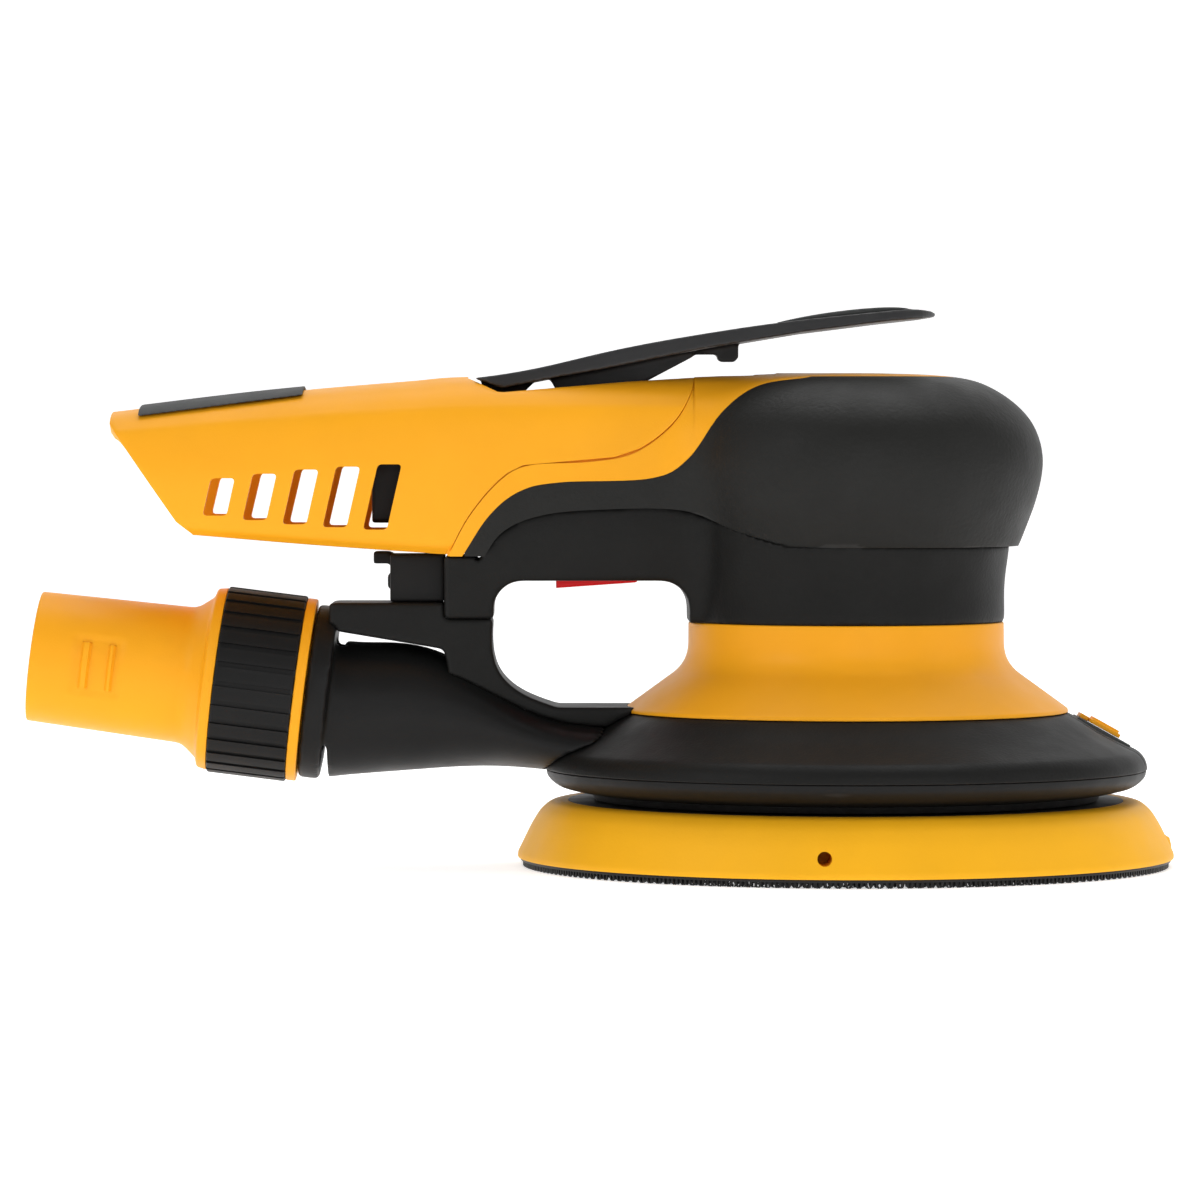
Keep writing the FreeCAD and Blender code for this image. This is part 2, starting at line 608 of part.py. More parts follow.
def make_latch():
    feature("latch_plate", latch_box())
    feature("latch_catch", latch_frame(block(-5.8, -3.6, -3.0, 3.0, 0.3, 1.3)))
    slider = block(-3.4, 4.4, -4.6, 4.6, 0.4, 1.3)
    for index in range(4):
        ridge = block(-2.8, 3.8, -3.9 + 2.2 * index, -2.7 + 2.2 * index, 1.3, 1.9)
        slider = slider.fuse(ridge)
    feature("release_slide", latch_frame(slider.removeSplitter()))


# ---------------------------------------------------------------- pad

def make_pad_parts():
    facing = turned("hook_facing", (("screw_well - 2", "0"), ("pad_radius - 0.6", "0"),
                                    ("pad_radius - 0.6", "hook_height"), ("screw_well - 2", "hook_height")))
    top = "pad_height"
    lip = "pad_radius - pad_slope_run"
    foam = turned("pad_foam", (
        ("screw_well", "hook_height"), ("pad_radius", "hook_height"), ("pad_radius", "hook_height + 1"),
        ("pad_radius - 3.3", "pad_height - 5.2"), ("pad_radius - 5.4", "pad_height - 2.1"),
        ("pad_radius - 7.2", "pad_height - 0.5"), (lip, top), ("pad_radius - pad_slope_run - plate_inset", top),
        ("pad_radius - pad_slope_run - plate_inset", "pad_height - plate_thick"),
        ("screw_well", "pad_height - plate_thick")))
    plate = turned("backing_plate", (
        ("screw_radius + fit_gap", "pad_height - plate_thick"),
        ("pad_radius - pad_slope_run - plate_inset", "pad_height - plate_thick"),
        ("pad_radius - pad_slope_run - plate_inset", top), ("screw_radius + fit_gap", top)))
    holes = (("dust_circle", "0", "dust_hole_radius"), ("outer_circle", "0", "outer_hole_radius"))
    for body in (facing, foam, plate):
        doc.recompute()
        drill(body, body.Label + "_dust_holes", holes, repeat="hole_count")
        move(body, y="orbit")
    doc.recompute()
    spot = new_sketch(foam, "side_hole_spot", "XZ_Plane", "pad_radius - 14")
    draw_circle(spot, "-8.2", "hook_height + 4.4", "side_hole_radius")
    side_hole = foam.newObject("PartDesign::Pocket", "side_hole")
    side_hole.Profile = spot
    side_hole.Type = "ThroughAll"
    side_hole.Reversed = True
    foam.Tip = side_hole

    spindle = turned("pad_spindle", (
        ("screw_radius", top), ("bearing_radius", top), ("bearing_radius", "pad_height + 2"),
        ("bearing_bore + 2", "pad_height + 2.4"), ("bearing_bore + 2", "cup_base + 0.8"),
        ("bearing_bore - running_gap", "cup_base + 0.8"),
        ("bearing_bore - running_gap", "cup_base + 2 * bearing_width + 1"),
        ("0", "cup_base + 2 * bearing_width + 1"), ("0", "pad_height + 16"), ("screw_radius", "pad_height + 16")))
    under = "pad_height - plate_thick"
    washer = turned("pad_washer", (
        ("screw_radius + fit_gap", under + " - washer_thick"), ("washer_radius", under + " - washer_thick"),
        ("washer_radius", under), ("screw_radius + fit_gap", under)))
    seat = under + " - washer_thick"
    screw = turned("pad_screw", (
        ("0", seat + " - screw_head_height + 2.5"), ("2.5", seat + " - screw_head_height + 2.5"),
        ("2.5", seat + " - screw_head_height"), ("screw_head_radius - 0.6", seat + " - screw_head_height"),
        ("screw_head_radius", seat + " - screw_head_height + 0.6"), ("screw_head_radius", seat),
        ("screw_radius", seat), ("screw_radius", "pad_height + 14"), ("0", "pad_height + 14")))
    for body in (spindle, washer, screw):
        move(body, y="orbit")


# ---------------------------------------------------------------- drive train

def ring_piece(name, inner, outer, low, high):
    return turned(name, ((inner, low), (outer, low), (outer, high), (inner, high)))


def make_rotor_parts():
    for name, step in (("pad_bearing_lower", "1"), ("pad_bearing_upper", "1.5 + bearing_width")):
        race = ring_piece(name, "bearing_bore", "bearing_radius", "cup_base + " + step,
                          "cup_base + bearing_width + " + step)
        move(race, y="orbit")

    spindle = new_body("motor_spindle")
    cup = new_sketch(spindle, "cup_circle", "XY_Plane", "cup_base")
    draw_circle(cup, "0", "orbit", "bearing_radius + cup_wall")
    pad_sketch(spindle, "cup", cup, "2 * bearing_width + 4.5")
    shaft = new_sketch(spindle, "shaft_profile", "XZ_Plane")
    draw_outline(shaft, (
        ("0", "cup_base + 2 * bearing_width + 4"), ("spindle_radius + 3", "cup_base + 2 * bearing_width + 4"),
        ("spindle_radius + 3", "lower_bearing_z - 0.5"), ("spindle_radius", "lower_bearing_z - 0.5"),
        ("spindle_radius", "upper_bearing_z + top_bearing_width + 1"),
        ("0", "upper_bearing_z + top_bearing_width + 1")))
    turn = spindle.newObject("PartDesign::Revolution", "shaft")
    turn.Profile = shaft
    turn.ReferenceAxis = (shaft, ["V_Axis"])
    turn.Angle = 360
    doc.recompute()
    seat = new_sketch(spindle, "bearing_seat_circle", "XY_Plane", "cup_base + 2 * bearing_width + 1.5")
    draw_circle(seat, "0", "orbit", "bearing_radius")
    pocket = spindle.newObject("PartDesign::Pocket", "bearing_seat")
    pocket.Profile = seat
    pocket.setExpression("Length", bound("2 * bearing_width + 1.5"))

    low = size("cup_base + 2 * bearing_width + 4.5")
    thick = size("weight_thick")
    half_disc = Part.makeCylinder(size("weight_radius"), thick, at(0, low), UP, 180)
    half_disc.rotate(FreeCAD.Vector(0, 0, 0), UP, 180)
    hub = Part.makeCylinder(size("spindle_radius + 6"), thick, at(0, low))
    hole = Part.makeCylinder(size("spindle_radius + 3"), thick, at(0, low))
    feature("counterweight", half_disc.fuse(hub).cut(hole))

    ring_piece("rotor_core", "spindle_radius", "rotor_radius", "stack_base", "stack_base + stack_height")
    inner = size("rotor_radius")
    outer = size("rotor_radius + magnet_thick")
    low = size("stack_base")
    high = size("stack_base + stack_height")
    ring = [at(inner, low), at(outer, low), at(outer, high), at(inner, high)]
    face = Part.Face(Part.makePolygon(ring + [ring[0]]))
    magnet = face.revolve(FreeCAD.Vector(0, 0, 0), UP, 40)
    feature("rotor_magnets", Part.makeCompound(ring_of(magnet, 0, 8)))

    fan = ring_piece("cooling_fan", "spindle_radius", "fan_radius", "stack_base + stack_height + 5",
                     "stack_base + stack_height + 6.2")
    doc.recompute()
    blade = new_sketch(fan, "fan_blade_outline", "XY_Plane", "stack_base + stack_height + 6")
    draw_outline(blade, (("spindle_radius + 4", "-0.5"), ("fan_radius - 1", "3.4"), ("fan_radius - 1", "4.6"),
                         ("spindle_radius + 4", "0.7")))
    fin = pad_sketch(fan, "fan_blade", blade, "fan_height - 1")
    wheel = fan.newObject("PartDesign::PolarPattern", "fan_blades")
    wheel.Originals = [fin]
    wheel.Axis = (blade, ["N_Axis"])
    wheel.Angle = 360
    wheel.setExpression("Occurrences", bound("blade_count"))
    fan.Tip = wheel


def make_motor_parts():
    ring_piece("lower_bearing", "spindle_radius + running_gap", "motor_bearing_radius", "lower_bearing_z",
               "lower_bearing_z + bearing_width")
    ring_piece("upper_bearing", "spindle_radius + running_gap", "top_bearing_radius", "upper_bearing_z",
               "upper_bearing_z + top_bearing_width")
    low = "lower_bearing_z"
    high = "lower_bearing_z + bearing_width"
    edge = "neck_radius - neck_wall"
    bracket = turned("bearing_bracket", (
        ("motor_bearing_radius", low), ("motor_bearing_radius + 3", low), ("motor_bearing_radius + 3", high + " - 0.8"),
        (edge, high + " - 0.8"), (edge, high + " + 1.5"), ("spindle_radius + 1.5", high + " + 1.5"),
        ("spindle_radius + 1.5", high), ("motor_bearing_radius", high)))
    doc.recompute()
    screw_spots = (("bracket_screw_circle", "0", "bracket_screw_radius"),)
    drill(bracket, "bracket_holes", screw_spots, repeat="bracket_screw_count")
    turned("top_bracket", (
        ("top_bearing_radius", "upper_bearing_z"), ("head_radius - 7.7", "upper_bearing_z"),
        ("head_radius - 7.7", "upper_bearing_z + 2.5"), ("top_bearing_radius + 2.5", "upper_bearing_z + 2.5"),
        ("top_bearing_radius + 2.5", "upper_bearing_z + top_bearing_width"),
        ("top_bearing_radius", "upper_bearing_z + top_bearing_width")))

    stator = ring_piece("stator_core", "stator_radius - 4", "stator_radius", "stack_base",
                        "stack_base + stack_height")
    doc.recompute()
    tooth = new_sketch(stator, "tooth_outline", "XY_Plane", "stack_base")
    tip = "rotor_radius + magnet_thick + air_gap"
    draw_outline(tooth, ((tip, "-2.5"), ("stator_radius - 3.5", "-2.5"), ("stator_radius - 3.5", "2.5"), (tip, "2.5")))
    fin = pad_sketch(stator, "tooth", tooth, "stack_height")
    teeth = stator.newObject("PartDesign::PolarPattern", "teeth")
    teeth.Originals = [fin]
    teeth.Axis = (tooth, ["N_Axis"])
    teeth.Angle = 360
    teeth.setExpression("Occurrences", bound("coil_count"))
    stator.Tip = teeth
    doc.recompute()
    drill(stator, "stator_holes", screw_spots, repeat="bracket_screw_count")

    near = size(tip) + 1.5
    far = size("stator_radius") - 4.6
    low = size("stack_base")
    high = size("stack_base + stack_height")
    over = size("coil_overhang")
    coil = block(near, far, -5.2, 5.2, low - over, high + over).cut(
        block(near, far, -2.5, 2.5, low, high))
    coil = rounded(coil, 1.5, lambda edge: edge.BoundBox.XLength > 1 and abs(edge.BoundBox.YMin) > 5
                   and edge.BoundBox.YLength < 0.1)
    coils = []
    for index in range(int(size("coil_count"))):
        copy = coil.copy()
        copy.rotate(FreeCAD.Vector(0, 0, 0), UP, 360.0 * index / size("coil_count"))
        coils.append(copy)
    feature("stator_coils", Part.makeCompound(coils))

    under = size("lower_bearing_z + bearing_width - 0.8")
    shank = Part.makeCylinder(size("bracket_screw_radius"), 12, at(0, under))
    head = Part.makeCylinder(size("bracket_screw_radius + 1.2"), 1.8, at(0, under - 1.8))
    screws = ring_of(head.fuse(shank), size("bracket_screw_circle"), size("bracket_screw_count"))
    for screw in screws:
        screw.rotate(FreeCAD.Vector(0, 0, 0), UP, -45)
    feature("bracket_screws", Part.makeCompound(screws))


# ---------------------------------------------------------------- rim, seal and controls

def make_small_parts():
    edge = "shroud_radius"
    base = "shroud_base"
    turned("shroud_rim", (
        (edge + " - shroud_wall", base), (edge + " - 0.2", base), (edge + " - 0.7", base + " - 1.6"),
        (edge + " - 3.2", base + " - 3.6"), (edge + " - 10.7", base + " - rim_depth"),
        (edge + " - 10.7", base + " - rim_depth + 2"), (edge + " - 4.2", base + " - 1.6")))
    turned("brake_seal", (
        (edge + " - 10.7 - seal_width", base + " - rim_depth + 0.4"), (edge + " - 12.2", "pad_height + seal_gap"),
        (edge + " - 11.2", "pad_height + seal_gap"), (edge + " - 10.7", base + " - rim_depth"),
        (edge + " - 10.7", base + " - rim_depth + 2"), (edge + " - 10.7 - seal_width", base + " - rim_depth + 2")))

    x = size("button_x")
    reach = size("button_length / 2")
    roof = size("loop_top + neck_wall")
    low = size("loop_top - button_proud")
    cap = side_plate(((x - reach, low), (x - reach, roof + 0.4), (x + reach, roof + 0.4), (x + reach, low + 1.3)),
                     size("button_half"))
    flange = block(x - reach - 1.5, x + reach + 1.5, -size("button_half") - 1.5, size("button_half") + 1.5,
                   roof + 0.2, roof + 1.2)
    cap = rounded(cap, 0.6, lambda item: item.BoundBox.ZMax < low + 1.4 and item.BoundBox.XLength > 5)
    feature("power_button", cap.fuse(flange))
    feature("button_switch", block(x - 6, x + 6, -3.2, 3.2, roof + 2.9, roof + 9))

    board = block(-82, -42, -14, 14, 88, 89.6)
    feature("controller_board", board)
    caps = [Part.makeCylinder(4.6, 22, at(-81, 83.2, y), FreeCAD.Vector(1, 0, 0)) for y in (-7, 7)]
    feature("board_capacitors", Part.makeCompound(caps))
    sink = block(-62, -44, -9, 9, 89.6, 96.5)
    for index in range(5):
        y = -7.2 + 3.2 * index
        sink = sink.cut(block(-62, -44, y, y + 1.6, 91.2, 97))
    feature("heat_sink", sink)
    feature("lever_sensor", block(-29.1, -25.1, -2, 2, size("tray_floor") - 1.6, size("tray_floor")))


def make_tail_parts():
    front = size("post_rear - 1.4")
    rear = front - 14.8
    socket = block(rear, front, -14.2, 14.2, 78.5, 100.5)
    socket = socket.cut(block(rear, front - 4, -10, 10, 82, 97))
    feature("power_inlet", rounded(socket, 1.2, lambda edge: edge.BoundBox.XLength > 14))
    pins = [Part.makeCylinder(1.2, 7.5, at(front - 4, 89.5, y), FreeCAD.Vector(-1, 0, 0)) for y in (-5.5, 0, 5.5)]
    feature("inlet_pins", Part.makeCompound(pins))
    post = size("post_rear")
    bracket = block(post - 12.3, post, -9, 9, 60.5, 71.3)
    bracket = bracket.fuse(block(post - 16.2, post - 12.3, -4, 4, 69.1, 71.9))
    bracket = bracket.fuse(block(post - 13.0, post - 12.3, -3, 3, 63.6, 66.6))
    feature("tail_bracket", bracket)


# ---------------------------------------------------------------- hose swivel

def make_swivel():
    start = "running_gap + 0.25"
    ring_low = start + " + flange_thick"
    ring_high = ring_low + " + grip_ring_length"
    hub = "spigot_radius + 2"
    adapter = turned("hose_adapter", (
        ("hose_bore", "-sleeve_length"), ("sleeve_radius", "-sleeve_length"), ("sleeve_radius", "-sleeve_length + 1.2"),
        ("sleeve_radius - 0.9", "-sleeve_length + 1.2"), ("sleeve_radius - 0.9", "-sleeve_length + 2.6"),
        ("sleeve_radius", "-sleeve_length + 2.6"), ("sleeve_radius", start), ("flange_radius", start),
        ("flange_radius", ring_low), (hub, ring_low), (hub, ring_high), ("flange_radius", ring_high),
        ("flange_radius - 0.4", ring_high + " + flange_thick"), ("flange_radius - 2.4", ring_high + " + flange_thick + 0.6"),
        ("spigot_radius", ring_high + " + flange_thick + 4.2"), ("spigot_radius - spigot_taper", "swivel_length"),
        ("hose_bore", "swivel_length")))
    ring = ring_piece("grip_ring", hub, "grip_ring_radius", ring_low, ring_high)
    doc.recompute()
    drill(ring, "grip_grooves", (("grip_ring_radius + 0.2", "0", "0.8"),), repeat="rib_count")
    seal = ring_piece("swivel_seal", "sleeve_radius - 0.9", "sleeve_radius", "-sleeve_length + 1.2",
                      "-sleeve_length + 2.6")
    for body in (adapter, ring, seal):
        move(body, "duct_end_x", "0", "duct_end_z")
        body.Placement.Rotation = FreeCAD.Rotation(FreeCAD.Vector(0, -1, 0), 1)
        body.setExpression("Placement.Rotation.Angle", bound("90 - duct_tilt"))


make_upper_shells()
make_lower_housing()
make_rear_cover()
make_tail_pad()
make_tray()
make_lever()
make_hose_side()
make_arm()
make_latch()
make_pad_parts()
make_rotor_parts()
make_motor_parts()
make_small_parts()
make_tail_parts()
make_swivel()
doc.recompute()


# ---------------------------------------------------------------- check and write

pieces = []
for item in doc.Objects:
    if "Invalid" in item.State or "Error" in item.State:
        raise SystemExit(f"{item.Name} failed: {item.State}")
    if item.TypeId in ("PartDesign::Body", "Part::Feature"):
        pieces.append(item)

os.makedirs("parts", exist_ok=True)
for item in pieces:
    shape = item.Shape
    if shape.isNull() or not shape.isValid() or not shape.Solids:
        raise SystemExit(f"{item.Label} has no valid shape")
    print(f"{item.Label:20s} {len(shape.Solids):2d} {shape.Volume:10.0f}")
for item in pieces:
    item.Shape.exportStep("parts/" + item.Label + ".step")
print(len(pieces), "pieces")
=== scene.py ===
# %% [markdown]
# # A random orbital sander, piece by piece
# The CAD model already fixes every size, place and joint of this tool. This lesson gives it its looks.
# We load that model as a fixed frame first, and keep its overall box, whose middle the lamps aim at.

# %% Load the frame
import json
import math
import bmesh
import bpy
import numpy as np
from mathutils import Matrix, Vector


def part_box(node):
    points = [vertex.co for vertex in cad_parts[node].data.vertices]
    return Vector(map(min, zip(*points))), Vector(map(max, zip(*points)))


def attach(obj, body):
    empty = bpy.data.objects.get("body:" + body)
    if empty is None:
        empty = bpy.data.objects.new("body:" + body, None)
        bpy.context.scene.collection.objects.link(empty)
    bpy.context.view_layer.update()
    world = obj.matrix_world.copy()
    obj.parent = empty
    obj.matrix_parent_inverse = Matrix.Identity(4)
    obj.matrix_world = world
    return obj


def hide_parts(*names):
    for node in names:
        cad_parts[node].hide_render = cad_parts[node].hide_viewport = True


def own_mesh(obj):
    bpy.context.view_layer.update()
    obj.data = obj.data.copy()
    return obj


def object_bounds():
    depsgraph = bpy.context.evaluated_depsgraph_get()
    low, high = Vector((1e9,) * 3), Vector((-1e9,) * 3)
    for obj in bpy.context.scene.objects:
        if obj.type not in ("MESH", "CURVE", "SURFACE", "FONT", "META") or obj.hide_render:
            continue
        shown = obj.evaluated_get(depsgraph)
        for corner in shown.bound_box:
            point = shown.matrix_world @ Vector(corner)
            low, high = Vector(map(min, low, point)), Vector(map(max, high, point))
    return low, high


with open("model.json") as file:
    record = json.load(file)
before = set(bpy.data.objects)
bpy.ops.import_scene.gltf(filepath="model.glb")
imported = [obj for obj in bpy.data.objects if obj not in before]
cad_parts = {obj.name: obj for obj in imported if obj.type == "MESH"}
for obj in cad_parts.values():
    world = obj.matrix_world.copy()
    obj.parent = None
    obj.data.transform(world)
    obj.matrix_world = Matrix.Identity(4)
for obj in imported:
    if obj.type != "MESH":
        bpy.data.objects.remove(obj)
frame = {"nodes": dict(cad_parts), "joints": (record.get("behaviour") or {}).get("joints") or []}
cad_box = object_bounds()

MM = 0.001
nodes = frame["nodes"]
print("nodes in the frame:", len(nodes))

# %% [markdown]
# ## Paper sweep
# A tool like this is usually shown in a bright room of white paper. One pale sheet runs from floor to wall
# without an edge, so the tool stands in front of nothing at all. We rule the sheet from a profile of points:
# a flat floor, a quarter circle and a wall.

# %% Paper sweep
PAPER_WHITE = 0.93
PAPER_GLOW = 0.58          # the paper glows a little, which keeps it white in the far corners


def paper_sweep(width, front, back, height, bend):
    """A floor that curves up into a wall, as one ruled sheet."""
    profile = [(front, 0.0), (back - bend, 0.0)]
    for step in range(1, 17):
        angle = math.radians(90 * step / 16)
        profile.append((back - bend + bend * math.sin(angle), bend * (1 - math.cos(angle))))
    profile.append((back, height))
    points = [(side * width / 2, y, z) for y, z in profile for side in (-1, 1)]
    faces = [(2 * i, 2 * i + 1, 2 * i + 3, 2 * i + 2) for i in range(len(profile) - 1)]
    mesh = bpy.data.meshes.new("paper_sweep")
    mesh.from_pydata(points, [], faces)
    mesh.polygons.foreach_set("use_smooth", [True] * len(mesh.polygons))
    sweep = bpy.data.objects.new("paper_sweep", mesh)
    bpy.context.collection.objects.link(sweep)
    paper = bpy.data.materials.new("white_paper")
    paper.use_nodes = True
    shader = paper.node_tree.nodes["Principled BSDF"]
    shader.inputs["Base Color"].default_value = (PAPER_WHITE, PAPER_WHITE, PAPER_WHITE, 1)
    shader.inputs["Roughness"].default_value = 0.9
    shader.inputs["Emission Color"].default_value = (1, 1, 1, 1)
    shader.inputs["Emission Strength"].default_value = PAPER_GLOW
    mesh.materials.append(paper)


paper_sweep(width=14.0, front=-5.0, back=4.0, height=5.0, bend=2.5)

# %% [markdown]
# ## Lamps
# Area lamps give the long soft highlights that make moulded plastic read as plastic: a broad one overhead,
# a softer one from the left, a long strip in front and a weak one on the right to open the shadows.
# Each lamp turns itself towards the middle of the tool, so we can move one without aiming it by hand.
# A pale world adds the even light that white walls would throw back.

# %% Lamps
def area_lamp(name, place, target, width, depth, watts):
    lamp = bpy.data.lights.new(name, "AREA")
    lamp.shape = "RECTANGLE"
    lamp.size = width
    lamp.size_y = depth
    lamp.energy = watts
    holder = bpy.data.objects.new(name, lamp)
    holder.location = place
    holder.rotation_euler = (Vector(target) - Vector(place)).to_track_quat("-Z", "Y").to_euler()
    bpy.context.collection.objects.link(holder)


tool_middle = [(low + high) / 2 for low, high in zip(*cad_box)]
area_lamp("overhead", (0.05, 0.25, 1.3), tool_middle, 1.1, 0.8, 8.5)
area_lamp("left_window", (-1.1, -0.9, 0.75), tool_middle, 0.8, 0.8, 4.5)
area_lamp("front_strip", (0.35, -1.5, 0.5), tool_middle, 1.2, 0.35, 3.6)
area_lamp("right_fill", (1.2, -0.4, 0.5), tool_middle, 0.5, 0.7, 1.6)
print("lamps:", len(bpy.data.lights))

world = bpy.data.worlds.new("studio_air")
world.use_nodes = True
world.node_tree.nodes["Background"].inputs["Color"].default_value = (1, 1, 1, 1)
world.node_tree.nodes["Background"].inputs["Strength"].default_value = 0.32
bpy.context.scene.world = world
bpy.context.scene.view_settings.view_transform = "Standard"

# %% [markdown]
# ## Camera
# The camera is far off with a long lens, level with the top of the grip, so the shape is almost a side view.
# We don't guess the lens. It follows from the distance and from how much of the tool's plane the view should
# span, so both can be changed without losing the framing.

# %% Camera
SENSOR = 36.0              # millimetres
FRAME_WIDTH = 0.274        # metres of the object's plane that the view spans
DISTANCE = 1.3             # metres from that plane
aim = Vector((-0.0562, 0.0, 0.0607))
camera_data = bpy.data.cameras.new("camera")
camera_data.sensor_width = SENSOR
camera_data.lens = SENSOR * DISTANCE / FRAME_WIDTH
camera = bpy.data.objects.new("camera", camera_data)
camera.location = (aim.x - 0.012, -DISTANCE, 0.095)
camera.rotation_euler = (aim - camera.location).to_track_quat("-Z", "Y").to_euler()
bpy.context.collection.objects.link(camera)
bpy.context.scene.camera = camera
print("lens", round(camera_data.lens, 1), "mm")

# %% [markdown]
# ## Building blocks for finishes
# A finish is a small network of nodes. Three blocks come back in all of them: noise in object coordinates,
# a ramp that turns a number into a colour, and bump nodes chained one behind the other. Written once as
# functions, they keep the recipes below short enough to read.

# %% Node helpers
def new_material(name):
    material = bpy.data.materials.new(name)
    material.use_nodes = True
    tree = material.node_tree
    return material, tree, tree.nodes["Principled BSDF"]


def noise(tree, scale, detail=3.0, rough=0.5):
    place = tree.nodes.new("ShaderNodeTexCoord")
    node = tree.nodes.new("ShaderNodeTexNoise")
    node.inputs["Scale"].default_value = scale
    node.inputs["Detail"].default_value = detail
    node.inputs["Roughness"].default_value = rough
    tree.links.new(place.outputs["Object"], node.inputs["Vector"])
    return node.outputs["Fac"]


def ramp(tree, source, low, high, first, second):
    """Colour ramp between two values of a source."""
    node = tree.nodes.new("ShaderNodeValToRGB")
    node.color_ramp.elements[0].position = low
    node.color_ramp.elements[1].position = high
    node.color_ramp.elements[0].color = first
    node.color_ramp.elements[1].color = second
    tree.links.new(source, node.inputs["Fac"])
    return node.outputs["Color"]


def grey(value):
    return (value, value, value, 1)


def bump_layers(tree, shader, layers):
    """Chain bump nodes: each layer is (height source, strength, depth in metres)."""
    last = None
    for source, strength, depth in layers:
        node = tree.nodes.new("ShaderNodeBump")
        node.inputs["Strength"].default_value = strength
        node.inputs["Distance"].default_value = depth
        tree.links.new(source, node.inputs["Height"])
        if last is not None:
            tree.links.new(last, node.inputs["Normal"])
        last = node.outputs["Normal"]
    tree.links.new(last, shader.inputs["Normal"])


# %% [markdown]
# ## Moulded plastic and rubber
# Nearly every visible piece is moulded, so one recipe serves them all: a base colour that drifts a little,
# a roughness that drifts with it, and two layers of bump, a fine one for the spark-eroded grain of the
# mould and a broad, very faint one for the slight unevenness of a real moulding. Convex edges are painted
# a little lighter in patches, found by the Pointiness value of the Geometry node; on the lever, which gets the most,
# this is a painted highlight along its edges.

# %% Moulded finish
def moulded(name, colour, roughness, grain, grain_depth, wear_and_edge_highlight=0.0, drift=0.08, specular=0.5):
    """Moulded plastic or rubber. grain is the size of the mould texture in metres."""
    material, tree, shader = new_material(name)
    broad = noise(tree, 45.0)
    dark = tuple(c * (1 - drift) for c in colour) + (1,)
    light = tuple(min(1, c * (1 + drift)) for c in colour) + (1,)
    base = ramp(tree, broad, 0.3, 0.7, dark, light)
    # Painted lighter edges: convex edges, found by Pointiness, turn towards grey in patches; on the lever this is a
    # painted highlight.
    if wear_and_edge_highlight > 0:
        edge = tree.nodes.new("ShaderNodeNewGeometry")
        mask = ramp(tree, edge.outputs["Pointiness"], 0.515, 0.60, grey(0), grey(1))
        patchy = tree.nodes.new("ShaderNodeMath")
        patchy.operation = "MULTIPLY"
        tree.links.new(mask, patchy.inputs[0])
        tree.links.new(noise(tree, 260.0), patchy.inputs[1])
        blend = tree.nodes.new("ShaderNodeMix")
        blend.data_type = "RGBA"
        worn_and_lit = tuple(c + (0.5 - c) * wear_and_edge_highlight for c in colour) + (1,)
        blend.inputs["B"].default_value = worn_and_lit
        tree.links.new(patchy.outputs["Value"], blend.inputs["Factor"])
        tree.links.new(base, blend.inputs["A"])
        base = blend.outputs["Result"]
    tree.links.new(base, shader.inputs["Base Color"])
    spread = noise(tree, 130.0, 4.0)
    rough = ramp(tree, spread, 0.25, 0.75, grey(roughness - 0.05), grey(roughness + 0.06))
    tree.links.new(rough, shader.inputs["Roughness"])
    shader.inputs["Specular IOR Level"].default_value = specular
    bump_layers(tree, shader, [(noise(tree, 0.9 / grain, 2.0), 0.9, grain_depth),
                               (noise(tree, 30.0, 1.0), 0.15, 0.0004)])
    return material

# %% [markdown]
# ## Metal
# Metal has no colour under its reflection, so the Metallic input is 1 and the base colour tints the
# reflection instead. What tells a turned part from a cast one is how rough it is and how fine its tool marks
# are, so those are the two values that change from one metal to the next.

# %% Metal finish
def metal(name, colour, roughness, streak=900.0):
    """Turned or ground metal with fine tool marks."""
    material, tree, shader = new_material(name)
    shader.inputs["Metallic"].default_value = 1.0
    shade = ramp(tree, noise(tree, 60.0), 0.3, 0.7, tuple(c * 0.9 for c in colour) + (1,), tuple(colour) + (1,))
    tree.links.new(shade, shader.inputs["Base Color"])
    rough = ramp(tree, noise(tree, 200.0), 0.3, 0.7, grey(roughness - 0.06), grey(roughness + 0.08))
    tree.links.new(rough, shader.inputs["Roughness"])
    bump_layers(tree, shader, [(noise(tree, streak, 2.0), 0.3, 0.00003)])
    return material

# %% [markdown]
# ## The palette
# One line for each material on the tool. The blacks look alike at a glance but differ on the real object:
# the soft overmould has the coarsest grain, the ring and the rim are nearly smooth rubber, and the lever is
# a harder, slightly glossier plastic whose edges are painted much lighter, a painted highlight.

# %% Palette
yellow = moulded("yellow_plastic", (0.95, 0.405, 0.012), 0.42, 0.0004, 0.00002, drift=0.03, specular=0.18)
foam_yellow = moulded("pad_yellow", (0.97, 0.475, 0.012), 0.48, 0.0006, 0.00003, drift=0.03, specular=0.18)
soft_black = moulded("soft_overmould", (0.011, 0.011, 0.010), 0.52, 0.0009, 0.00012, wear_and_edge_highlight=0.05, specular=0.22)
black = moulded("grained_black", (0.008, 0.008, 0.0075), 0.50, 0.0006, 0.00007, wear_and_edge_highlight=0.05, specular=0.16)
smooth_black = moulded("smooth_black", (0.008, 0.008, 0.008), 0.44, 0.0004, 0.00002, wear_and_edge_highlight=0.05, specular=0.18)
rim_black = moulded("rim_rubber", (0.006, 0.006, 0.006), 0.50, 0.0005, 0.00002, wear_and_edge_highlight=0.03, specular=0.20)
